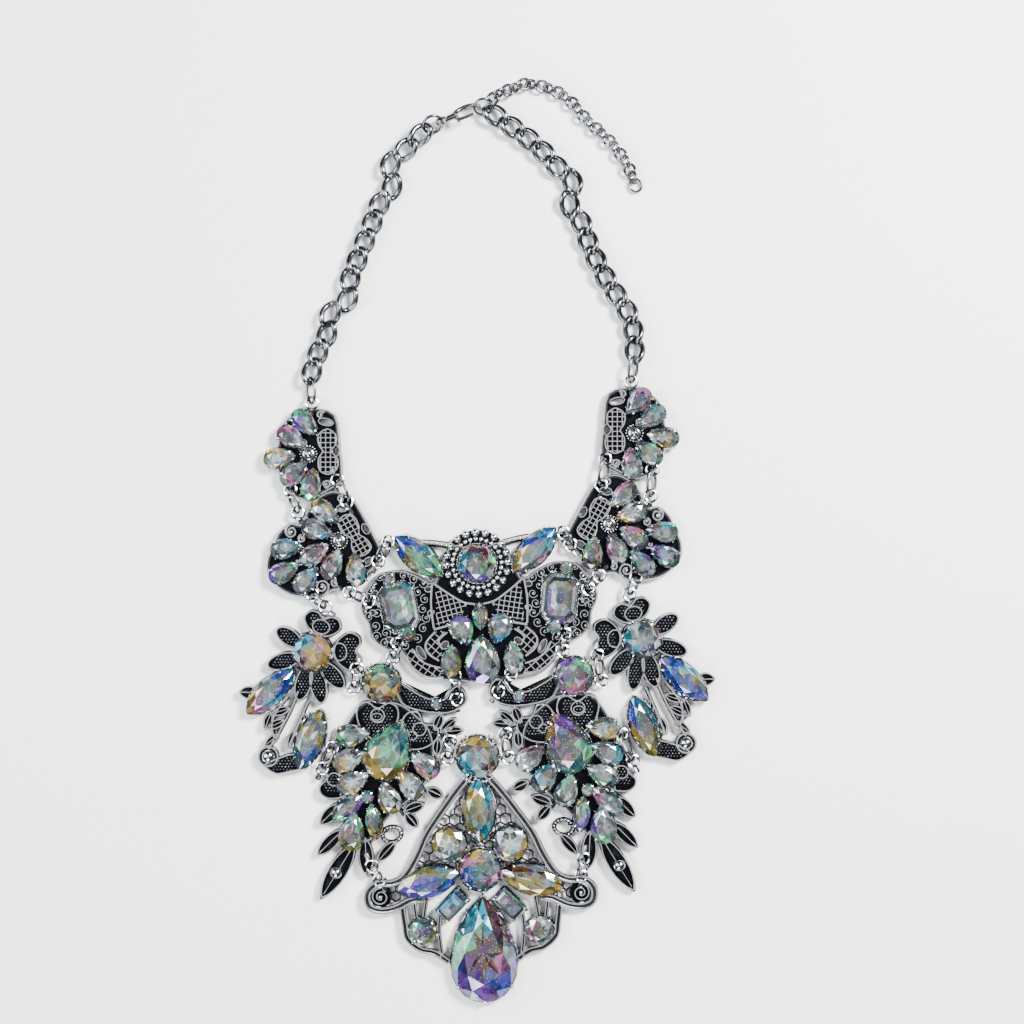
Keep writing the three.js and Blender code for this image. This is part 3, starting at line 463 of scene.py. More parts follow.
@dataclass
class Shaper:
    """Collects closed shells in a casting's own millimetres."""

    points: list = field(default_factory=list)
    faces: list = field(default_factory=list)
    colours: list = field(default_factory=list)

    def add(self, points: list, faces: list, colours: list | None = None) -> None:
        """Adds a shell, and for a stone a colour for each of its faces."""
        base = len(self.points)
        self.points.extend(points)
        self.faces.extend([tuple(base + i for i in face) for face in faces])
        self.colours.extend(colours or [(0.5, 0.5, 0.5, 1.0)] * len(faces))

    def plate(self, outline: list, holes: list, low: float, high: float) -> None:
        """Adds a flat plate with openings cut through.

        Args:
            outline: Outer outline.
            holes: Outlines of the openings.
            low: Height of its back.
            high: Height of its front.
        """
        loops = [counter_clockwise(outline)] + [counter_clockwise(hole)[::-1] for hole in holes]
        flat = [point for loop in loops for point in loop]
        count = len(flat)
        vectors = [[Vector((x, y, 0)) for x, y in loop] for loop in loops]
        top = []
        for a, b, c in tessellate_polygon(vectors):
            pa, pb, pc = (Vector(flat[i]) for i in (a, b, c))
            cross = (pb - pa).cross(pc - pa)
            if abs(cross) > 1e-9:
                top.append((a, b, c) if cross > 0 else (a, c, b))
        faces = [tuple(i + count for i in face) for face in top] + [face[::-1] for face in top]
        start = 0
        for loop in loops:
            size = len(loop)
            for i in range(size):
                a, b = start + i, start + (i + 1) % size
                faces.append((a, b, b + count, a + count))
            start += size
        self.add([(x, y, low) for x, y in flat] + [(x, y, high) for x, y in flat], faces)

    def stack(self, rings: list, colours: list | None = None) -> None:
        """Adds a shell through rings of equal counts, from the lowest up, closed at both ends."""
        size, points = len(rings[0]), [point for ring in rings for point in ring]
        lowest, highest = tuple(range(size)), tuple(range(len(points) - size, len(points)))
        faces = [lowest[::-1], *between(len(rings), size, False), highest]
        self.add(points, faces, colours)

    def tube(self, line: list, radius: float, closed: bool, sides: int = 6,
             taper: float = 1.0) -> None:
        """Adds a wire along a line of points.

        Args:
            line: Points with their heights.
            radius: Radius of the wire.
            closed: Whether the wire closes on itself.
            sides: Sides of the wire.
            taper: Share of the radius left at the far end.
        """
        count = len(line)
        vectors = [Vector(point) for point in line]
        points = []
        for i, here in enumerate(vectors):
            before = vectors[i - 1] if closed or i else here
            after = vectors[(i + 1) % count] if closed or i < count - 1 else here
            along = (after - before).normalized()
            across = Vector((-along.y, along.x, 0)).normalized()
            up = along.cross(across)
            size = radius * (1 + (taper - 1) * i / max(1, count - 1))
            for k in range(sides):
                t = 2 * math.pi * k / sides
                points.append(tuple(here + across * size * math.cos(t) + up * size * math.sin(t)))
        faces = between(count, sides, closed)
        if not closed:
            faces.append(tuple(range(sides))[::-1])
            faces.append(tuple(range(len(points) - sides, len(points))))
        self.add(points, faces)

    def loop(self, outline: list, high: float, radius: float, sides: int = 6) -> None:
        """Adds a wire that closes on itself, from its outline, height and radius."""
        self.tube([(x, y, high) for x, y in outline], radius, True, sides)

    def dome(self, x: float, y: float, low: float, radius: float, rise: float,
             sides: int) -> None:
        """Adds a bead that stands on a casting.

        Args:
            x: Middle along X.
            y: Middle along Y.
            low: Height of its foot.
            radius: Radius of its foot.
            rise: Height over its foot.
            sides: Sides.
        """
        rings = []
        for level in range(4):
            t = level * math.pi / 2 / 4
            ring = ellipse(radius * math.cos(t), radius * math.cos(t), sides)
            rings.append([(x + px, y + py, low + rise * math.sin(t)) for px, py in ring])
        tip = ellipse(radius * 0.12, radius * 0.12, sides)
        rings.append([(x + px, y + py, low + rise) for px, py in tip])
        self.stack(rings)

    def collar(self, outline: list, low: float, high: float, inner: float, outer: float) -> None:
        """Adds a band round an outline, from low to high, that reaches inwards and outwards."""
        bore, wall = grown(outline, -inner), grown(outline, outer)
        lip = grown(outline, (outer - inner) / 2)
        loops = [(wall, low), (wall, high - 0.3), (lip, high), (bore, high - 0.15), (bore, low)]
        points = [(x, y, z) for loop, z in loops for x, y in loop]
        self.add(points, between(len(loops), len(outline), True))

    def shells(self, outline: list, levels: list, colours: list | None = None) -> None:
        """Adds a shell through an outline at shares of its size and their heights."""
        self.stack([[(x, y, z) for x, y in shrunk(outline, share)] for share, z in levels],
                   colours)

    def dish(self, outline: list, low: float, rim: float, floor: float, lip: float,
             crown: float) -> None:
        """Adds a petal: a plate with a raised rim and a sunken field.

        Args:
            outline: Counter-clockwise outline.
            low: Height of its back.
            rim: Height of its rim.
            floor: Height of the field inside the rim.
            lip: Share of the petal that the rim takes.
            crown: Rise of the field's middle.
        """
        self.shells(outline, [(1.0, low), (1.0, rim - 0.28), (1 - lip * 0.35, rim),
                              (1 - lip * 0.75, rim - 0.04), (1 - lip * 1.15, floor),
                              (0.6, floor + crown * 0.6), (0.3, floor + crown * 0.9),
                              (0.05, floor + crown)])

    def leaf(self, start: Point2, end: Point2, wide: float, low: float = BACK,
             high: float = 2.55) -> None:
        """Adds a leaf: a blade, a wire round it and a midrib.

        Args:
            start: Foot of the leaf.
            end: Tip of the leaf.
            wide: Width.
            low: Height of its back.
            high: Height of its edge wire's middle.
        """
        long = math.dist(start, end)
        turn = math.degrees(math.atan2(end[1] - start[1], end[0] - start[0]))
        middle = ((start[0] + end[0]) / 2, (start[1] + end[1]) / 2)
        blade = turned(stone_outline(Kind.MARQUISE, long, wide, 20), *middle, turn)
        self.shells(blade, [(1.0, low), (1.0, high - 0.7), (0.5, high - 0.65),
                            (0.1, high - 0.6)])
        self.loop(shrunk(blade, 0.9), high, 0.3)
        rib = turned([(-long * 0.5, 0), (0, 0), (long * 0.4, 0)], *middle, turn)
        self.tube([(x, y, high - 0.1) for x, y in rib], 0.24, False, 6, 0.5)

    def ribbon(self, line: list, wide: float, high: float, wire: float) -> None:
        """Adds a band with a raised wire along either edge.

        Args:
            line: Points of its middle.
            wide: Width of the band.
            high: Height of the wires' middles.
            wire: Radius of the wires.
        """
        path = smooth(line, 4, False)
        sides = []
        for hand in (1, -1):
            side = []
            for i, (x, y) in enumerate(path):
                a, b = path[max(0, i - 1)], path[min(len(path) - 1, i + 1)]
                long = math.dist(a, b)
                away = hand * (wide / 2 - wire)
                side.append((x - (b[1] - a[1]) / long * away, y + (b[0] - a[0]) / long * away))
            sides.append(side)
            self.tube([(x, y, high) for x, y in side], wire, False, 6)
        self.plate(sides[0] + sides[1][::-1], [], BACK, high - 0.35)

    def scroll(self, x: float, y: float, radius: float, start: float, turns: float,
               high: float = RIM, wire: float = 0.42, hand: int = 1) -> None:
        """Adds a curl of wire that winds in to a bead.

        Args:
            x: Middle along X.
            y: Middle along Y.
            radius: Radius at its outer end.
            start: Angle of its outer end.
            turns: How often it winds round.
            high: Height of the wire's middle.
            wire: Radius of the wire.
            hand: 1 to wind counter-clockwise, -1 the other way.
        """
        steps = int(14 * turns)
        line = []
        for i in range(steps + 1):
            share = i / steps
            angle = math.radians(start) + hand * share * turns * 2 * math.pi
            reach = radius * (1 - 0.72 * share)
            line.append((x + reach * math.cos(angle), y + reach * math.sin(angle), high))
        self.tube(line, wire, False, 6, 0.75)
        self.dome(x, y, high - 0.6, radius * 0.3, 0.95, 8)

    def rope(self, line: list, radius: float, high: float) -> None:
        """Adds a raised rib that follows a line, from its radius and its middle's height."""
        self.tube([(x, y, high) for x, y in smooth(line, 4, False)], radius, False)


# Colours of the crystal by name: the hued ones are the coating's tints; the pale grey-aqua one
# comes at four strengths, clear as the crystal's own tone, a lighter one as a painted highlight and
# two darker ones as painted shade
PALETTE = {
    "clear": (0.14, 0.185, 0.19), "painted_highlight": (0.42, 0.53, 0.54), "painted_shade": (0.04, 0.055, 0.06),
    "dark": (0.006, 0.01, 0.014), "aqua": (0.01, 0.24, 0.34), "teal": (0.012, 0.11, 0.12),
    "blue": (0.01, 0.035, 0.3), "violet": (0.1, 0.035, 0.26), "pink": (0.32, 0.1, 0.22),
    "mint": (0.08, 0.38, 0.2), "olive": (0.15, 0.135, 0.015), "gold": (0.36, 0.25, 0.04),
    "brown": (0.05, 0.014, 0.012), "green": (0.01, 0.16, 0.05),
}
STONE_MOODS = {
    "flower_stone_L": ("gold", "pink", "aqua", "clear", "brown", "gold"),
    "flower_stone_R": ("clear", "painted_shade", "aqua", "painted_highlight", "painted_shade"),
    "upper_marquise_L": ("clear", "gold", "pink", "aqua", "blue"),
    "upper_marquise_R": ("blue", "aqua", "clear", "blue", "gold"),
    "lower_marquise_L": ("clear", "gold", "teal", "blue", "olive"),
    "lower_marquise_R": ("painted_shade", "olive", "gold", "blue", "teal"),
    "cluster_round_L": ("gold", "painted_shade", "mint", "olive", "brown"),
    "cluster_round_R": ("painted_shade", "pink", "clear", "violet", "mint"),
    "cluster_pear_L": ("mint", "gold", "olive", "mint", "teal"),
    "cluster_pear_R": ("painted_shade", "mint", "teal", "clear", "gold", "violet"),
    "butterfly_round": ("painted_shade", "aqua", "violet", "clear", "mint", "brown"),
    "butterfly_navette_L": ("mint", "teal", "blue", "olive"),
    "butterfly_navette_R": ("clear", "aqua", "blue", "gold"),
    "butterfly_octagon_L": ("clear", "painted_shade", "clear", "painted_highlight", "mint"),
    "butterfly_octagon_R": ("clear", "painted_highlight", "violet", "clear", "painted_shade"),
    "top_round": ("clear", "gold", "painted_shade", "aqua", "painted_highlight", "brown"),
    "top_marquise": ("olive", "aqua", "clear", "aqua", "gold"),
    "centre_round": ("teal", "pink", "clear", "gold", "pink", "blue"),
    "centre_pear": ("brown", "aqua", "mint", "blue", "violet", "blue", "pink"),
}
CLEAR_MOODS = (
    ("clear", "painted_highlight", "painted_shade", "mint"), ("clear", "painted_shade", "mint", "violet"),
    ("painted_shade", "clear", "painted_highlight", "pink"), ("clear", "painted_shade", "aqua", "clear"),
    ("painted_shade", "mint", "clear", "olive"), ("painted_highlight", "painted_shade", "clear", "gold"),
)


@dataclass
class Gem:
    """A cut stone: a table broken by the facets behind it, a crown, a girdle and a pavilion; its
    facets' colours carry painted highlights, reflections and shade.
    """

    kind: Kind
    x: float
    y: float
    turn: float
    long: float
    wide: float
    girdle: float = 3.3
    crown_share: float = 0.2
    crown_fixed: float = 0.0
    low: float = 1.4
    mood: tuple = ()

    claw = 0.34
    first_claw = 2.0
    # Painted light and shade: how bright each row of facets is, the pavilion kept dark
    painted_row_light = ((0.18, 0.48), (0.75, 1.2), (0.35, 0.75), (0.2, 0.4), (0.55, 0.85))

    @property
    def top(self) -> float:
        """Height of the table."""
        return self.girdle + (self.crown_fixed or self.crown_share * self.wide)

    def outline(self, sides: int = 16) -> list:
        """Girdle of the stone in the casting's millimetres."""
        girdle = stone_outline(self.kind, self.long, self.wide, sides)
        return turned(girdle, self.x, self.y, self.turn)

    def at(self, share: float, angle: float) -> Point2:
        """Point at a share of the girdle's reach and at a turn in sixteenths."""
        ring = self.outline(16)
        low, high = int(math.floor(angle)) % 16, int(math.ceil(angle)) % 16
        part = angle - math.floor(angle)
        x = ring[low][0] * (1 - part) + ring[high][0] * part
        y = ring[low][1] * (1 - part) + ring[high][1] * part
        return (self.x + (x - self.x) * share, self.y + (y - self.y) * share)

    def cut(self, shaper: Shaper, rng: random.Random) -> None:
        """Adds the stone to a shaper.

        Args:
            shaper: Takes the stone's shell.
            rng: Source of the facets' colours.
        """
        if self.kind is Kind.OCTAGON:
            self.cut_steps(shaper, rng)
            return
        rise = self.top - self.girdle
        points, rings = [], {}

        def ring(name: str, share: float, height: float, angles: list, wave: float = 0.0) -> None:
            """Adds a ring of points under a name, at a share of the girdle and a height."""
            rings[name] = [len(points) + i for i in range(len(angles))]
            for angle in angles:
                points.append((*self.at(share, angle), height + rng.uniform(-wave, wave)))

        whole, halves = [2.0 * k for k in range(8)], [2.0 * k + 1 for k in range(8)]
        ring("culet", 0.3, self.low, [float(k) for k in range(16)])
        ring("under", 1.0, self.girdle - 0.12, [float(k) for k in range(16)])
        ring("girdle", 1.0, self.girdle + 0.04, [float(k) for k in range(16)])
        ring("mid", 0.8, self.girdle + rise * 0.62, halves)
        ring("table", 0.6, self.top - 0.02, whole)
        ring("inner", 0.26, self.top - 0.02, halves, 0.03 * rise)
        points.append((self.x, self.y, self.top))
        centre = len(points) - 1
        faces, groups = [], []

        def face(row: int, *corners: int) -> None:
            """Adds a facet of a row through its corners."""
            faces.append(corners)
            x = sum(points[i][0] for i in corners) / len(corners) - self.x
            y = sum(points[i][1] for i in corners) / len(corners) - self.y
            groups.append((row, math.atan2(y, x) / (2 * math.pi) + 0.5))

        face(3, *reversed(rings["culet"]))
        for k in range(16):
            m = (k + 1) % 16
            for a, b in (("culet", "under"), ("under", "girdle")):
                face(3, rings[a][k], rings[a][m], rings[b][m], rings[b][k])
        for k in range(8):
            m = (k + 1) % 8
            g = rings["girdle"]
            face(0, rings["mid"][k], g[2 * k], g[2 * k + 1])
            face(1, rings["mid"][k], g[2 * k + 1], g[(2 * k + 2) % 16])
            face(1, rings["table"][k], rings["mid"][k - 1], g[2 * k], rings["mid"][k])
            face(2, rings["table"][k], rings["mid"][k], rings["table"][m])
            face(2, rings["inner"][k], rings["table"][k], rings["table"][m])
            face(4, centre, rings["inner"][k - 1], rings["table"][k], rings["inner"][k])
        shaper.add(points, faces, self.paint(groups, rng))

    def cut_steps(self, shaper: Shaper, rng: random.Random) -> None:
        """Adds a step-cut octagon to a shaper; see Gem.cut."""
        rise = self.top - self.girdle
        levels = [(0.35, self.low), (1.0, self.girdle - 0.12), (1.0, self.girdle + 0.04),
                  (0.86, self.girdle + rise * 0.6), (0.7, self.top), (0.48, self.top - 0.02),
                  (0.22, self.top + 0.02)]
        groups = [(3, 0.0)] + [([3, 3, 1, 0, 2, 1][level], i / 8)
                               for level in range(6) for i in range(8)] + [(0, 0.0)]
        shaper.shells(self.outline(), levels, self.paint(groups, rng))

    def paint(self, groups: list, rng: random.Random) -> list:
        """Gives each facet its colour, so that facets on one side are much alike, and darkens or
        lightens each row of facets as painted light and shade.

        Args:
            groups: For each facet, its row and how far round the stone it is, from 0 to 1.
            rng: Source of the choice.

        Returns:
            A colour for each facet.
        """
        mood = self.mood or rng.choice(CLEAR_MOODS)
        phase = rng.random()
        colours = []
        for row, share in groups:
            spot = (share + phase) * len(mood) + 0.5 * row + rng.uniform(-0.4, 0.4)
            name = mood[0] if row == 4 else mood[int(spot) % len(mood)]
            # A few facets take another colour at random, some of them the painted highlight or
            # painted shade
            if rng.random() < 0.06:
                name = rng.choice(("painted_highlight", "clear", "pink", "painted_shade", "aqua", "gold"))
            # Painted light and shade: the facet's brightness from its row
            light = rng.uniform(*self.painted_row_light[row])
            colours.append(tuple(part * light for part in PALETTE[name]) + (1.0,))
        return colours

    def seat(self, metal: Shaper, claws: int, wall: float) -> None:
        """Adds the stone's setting: a collar and claws.

        Args:
            metal: Takes the setting's shells.
            claws: How many claws hold the stone.
            wall: How far outside the girdle the claws stand.
        """
        octagon = self.kind is Kind.OCTAGON
        outline = self.outline(24)
        metal.collar(outline, BACK, self.girdle - 0.55, 0.1, wall * 0.55)
        for i in range(claws):
            angle = self.first_claw + 16 * i / claws
            x, y = outline[int(round(angle / 2)) % 8] if octagon else self.at(1.0, angle)
            away = Vector((x - self.x, y - self.y))
            away = away / max(0.001, away.length)
            line = [(x + away.x * out, y + away.y * out, high) for out, high in (
                (wall, 1.2), (wall * 0.5, self.girdle - 0.1), (-0.1, self.girdle + 0.3),
                (-0.55, self.girdle + 0.45))]
            metal.tube(line, self.claw, False, 6, 0.7)


# Geometry Nodes trees for what repeats


@dataclass
class Tree:
    """A Geometry Nodes tree with named inputs, run once on a base mesh or curve."""

    name: str
    inputs: dict = field(default_factory=dict)

    def __post_init__(self) -> None:
        """Creates the tree with its geometry sockets and its named inputs."""
        tree = bpy.data.node_groups.new(self.name, "GeometryNodeTree")
        kinds = ((bpy.types.Object, "Object"), (bpy.types.Material, "Material"), (int, "Int"),
                 (float, "Float"))
        sockets = [("Geometry", "INPUT", "Geometry"), ("Geometry", "OUTPUT", "Geometry")]
        for name, value in self.inputs.items():
            kind = next(word for group, word in kinds if isinstance(value, group))
            sockets.append((name, "INPUT", kind))
        for name, side, kind in sockets:
            tree.interface.new_socket(name, in_out=side, socket_type=f"NodeSocket{kind}")
        self.graph = Graph(tree)
        self.entry = self.graph.add("NodeGroupInput").outputs

    def run(self, last: bpy.types.NodeSocket, data: bpy.types.ID) -> bpy.types.Mesh:
        """Ends the tree, runs it on a base and keeps the result as a plain mesh.

        Args:
            last: Geometry so far. Its instances are made real and given the material.
            data: Mesh or curve that goes in. It is removed.

        Returns:
            The evaluated mesh.
        """
        real = self.graph.add("GeometryNodeRealizeInstances", {"Geometry": last}).outputs[0]
        dressed = self.graph.add("GeometryNodeSetMaterial", {
            "Geometry": real, "Material": self.entry["Material"]}).outputs[0]
        self.graph.add("NodeGroupOutput", {"Geometry": dressed})
        base = bpy.data.objects.new(self.name, data)
        bpy.context.scene.collection.objects.link(base)
        modifier = base.modifiers.new(self.name, "NODES")
        modifier.node_group = self.graph.tree
        for item in self.graph.tree.interface.items_tree:
            if item.in_out == "INPUT" and item.name in self.inputs:
                modifier[item.identifier] = self.inputs[item.name]
        bpy.context.view_layer.update()
        deps = bpy.context.evaluated_depsgraph_get()
        mesh = bpy.data.meshes.new_from_object(base.evaluated_get(deps), depsgraph=deps)
        base.modifiers.remove(modifier)
        bpy.data.objects.remove(base)
        (bpy.data.meshes if isinstance(data, bpy.types.Mesh) else bpy.data.curves).remove(data)
        return mesh


def chain_mesh(link: bpy.types.Object, line: list, roll: float, finish: bpy.types.Material,
               seed: int) -> bpy.types.Mesh:
    """Lays links along a line.

    Args:
        link: One link, its long side along X.
        line: Middles of the links in metres.
        roll: Turn of every other link about the line, in degrees.
        finish: Material of the links.
        seed: Seed of the links' play.

    Returns:
        The mesh of the chain.
    """
    curve = bpy.data.curves.new("chain_line", "CURVE")
    curve.dimensions = "3D"
    spline = curve.splines.new("POLY")
    spline.points.add(len(line) - 1)
    for point, place in zip(spline.points, line):
        point.co = (*place, 1.0)
    tree = Tree("chain", {"Link": link, "Roll": math.radians(roll), "Play": 0.05,
                          "Seed": seed, "Material": finish})
    graph, entry = tree.graph, tree.entry
    spaced = graph.add("GeometryNodeCurveToPoints", mode="EVALUATED")
    graph.feed(spaced, {"Curve": entry["Geometry"]})
    axis = graph.add("FunctionNodeAlignRotationToVector", axis="X")
    graph.feed(axis, {"Vector": spaced.outputs["Tangent"]})
    pattern = graph.add("GeometryNodeObjectInfo", {"Object": entry["Link"]})
    place = graph.add("GeometryNodeInstanceOnPoints", {
        "Points": spaced.outputs["Points"], "Rotation": axis.outputs["Rotation"],
        "Instance": pattern.outputs["Geometry"]})
    parity = graph.math("MODULO", graph.add("GeometryNodeInputIndex").outputs[0], 2.0)
    rolled = graph.math("MULTIPLY", parity, entry["Roll"])
    play = graph.vary(graph.math("MULTIPLY", entry["Play"], -1.0), entry["Play"], entry["Seed"])
    about = graph.add("ShaderNodeCombineXYZ", {"X": graph.math("ADD", rolled, play)}).outputs[0]
    turn = graph.add("GeometryNodeRotateInstances", {
        "Instances": place.outputs["Instances"], "Rotation": about})
    return tree.run(turn.outputs["Instances"], curve)


def dots_mesh(dots: list, finish: bpy.types.Material, seed: int) -> bpy.types.Mesh:
    """Sets beads on points.

    Args:
        dots: Points and radii, in metres.
        finish: Material of the beads.
        seed: Seed of the beads' sizes.

    Returns:
        The mesh of the beads.
    """
    mesh = bpy.data.meshes.new("dots")
    mesh.from_pydata([dot[:3] for dot in dots], [], [])
    size = mesh.attributes.new("size", "FLOAT", "POINT")
    size.data.foreach_set("value", [dot[3] for dot in dots])
    tree = Tree("dots", {"Spread": 0.12, "Seed": seed, "Material": finish})
    graph, entry = tree.graph, tree.entry
    bead = graph.add("GeometryNodeMeshIcoSphere", {"Radius": 1.0, "Subdivisions": 2})
    read = graph.add("GeometryNodeInputNamedAttribute", data_type="FLOAT")
    graph.feed(read, {"Name": "size"})
    vary = graph.vary(1.0, graph.math("ADD", entry["Spread"], 1.0), entry["Seed"])
    place = graph.add("GeometryNodeInstanceOnPoints", {
        "Points": entry["Geometry"], "Instance": bead.outputs["Mesh"],
        "Scale": graph.math("MULTIPLY", read.outputs["Attribute"], vary)})
    return tree.run(place.outputs["Instances"], mesh)


def lattice_mesh(strands: list, radius: float, finish: bpy.types.Material,
                 seed: int) -> bpy.types.Mesh:
    """Makes the wires of the lattice fields.

    Args:
        strands: Pairs of end points, in metres.
        radius: Radius of the wires in metres.
        finish: Material of the wires.
        seed: Seed of the wires' thickness.

    Returns:
        The mesh of the wires.
    """
    mesh = bpy.data.meshes.new("lattice")
    points = [point for strand in strands for point in strand]
    mesh.from_pydata(points, [(2 * i, 2 * i + 1) for i in range(len(strands))], [])
    tree = Tree("lattice", {"Radius": radius, "Seed": seed, "Material": finish})
    graph, entry = tree.graph, tree.entry
    curve = graph.add("GeometryNodeMeshToCurve", {"Mesh": entry["Geometry"]}).outputs["Curve"]
    profile = graph.add("GeometryNodeCurvePrimitiveCircle", {
        "Resolution": 6, "Radius": entry["Radius"]})
    sized = graph.add("GeometryNodeSetCurveRadius", {
        "Curve": curve, "Radius": graph.vary(0.92, 1.08, entry["Seed"])})
    wire = graph.add("GeometryNodeCurveToMesh", {
        "Curve": sized.outputs["Curve"], "Profile Curve": profile.outputs["Curve"],
        "Fill Caps": True})
    return tree.run(wire.outputs["Mesh"], mesh)


def link_points(half_long: float, half_wide: float, wire: float, twist: float, rings: int = 28,
                sides: int = 10) -> tuple:
    """Makes an oval link, twisted end to end, its long side along X.

    Args:
        half_long: Half its length to the wire's middle.
        half_wide: Half its width to the wire's middle.
        wire: Diameter of the wire.
        twist: Twist at either end in degrees.
        rings: Steps round the link.
        sides: Sides of the wire.

    Returns:
        Its points and faces.
    """
    points = []
    for i in range(rings):
        angle = 2 * math.pi * i / rings
        for k in range(sides):
            t = 2 * math.pi * k / sides
            reach, z = half_wide + wire / 2 * math.cos(t), wire / 2 * math.sin(t)
            x, y = reach * math.cos(angle), reach * math.sin(angle)
            along = math.cos(math.atan2(y, x))
            c = math.cos(math.radians(twist * along))
            s = math.sin(math.radians(twist * along))
            points.append((x + (half_long - half_wide) * along, y * c - z * s, y * s + z * c))
    return points, [(a, d, c, b) for a, b, c, d in between(rings, sides, True)]


def inside(point: Point2, outline: list) -> bool:
    """Tells whether a point lies inside an outline."""
    x, y = point
    result = False
    for a, b in zip(outline, outline[1:] + outline[:1]):
        if (a[1] > y) != (b[1] > y) and x < (b[0] - a[0]) * (y - a[1]) / (b[1] - a[1]) + a[0]:
            result = not result
    return result


def strands_in(outline: list, pitch: float, degrees: float) -> list:
    """Cuts parallel lines of a pitch and a direction to an outline, as pairs of ends."""
    level = turned(outline, 0, 0, -degrees)
    low, high = min(p[1] for p in level), max(p[1] for p in level)
    strands = []
    y = low + pitch / 2
    while y < high:
        cuts = sorted((b[0] - a[0]) * (y - a[1]) / (b[1] - a[1]) + a[0]
                      for a, b in zip(level, level[1:] + level[:1]) if (a[1] > y) != (b[1] > y))
        for start, end in zip(cuts[::2], cuts[1::2]):
            strands.append(turned([(start, y), (end, y)], 0, 0, degrees))
        y += pitch
    return strands


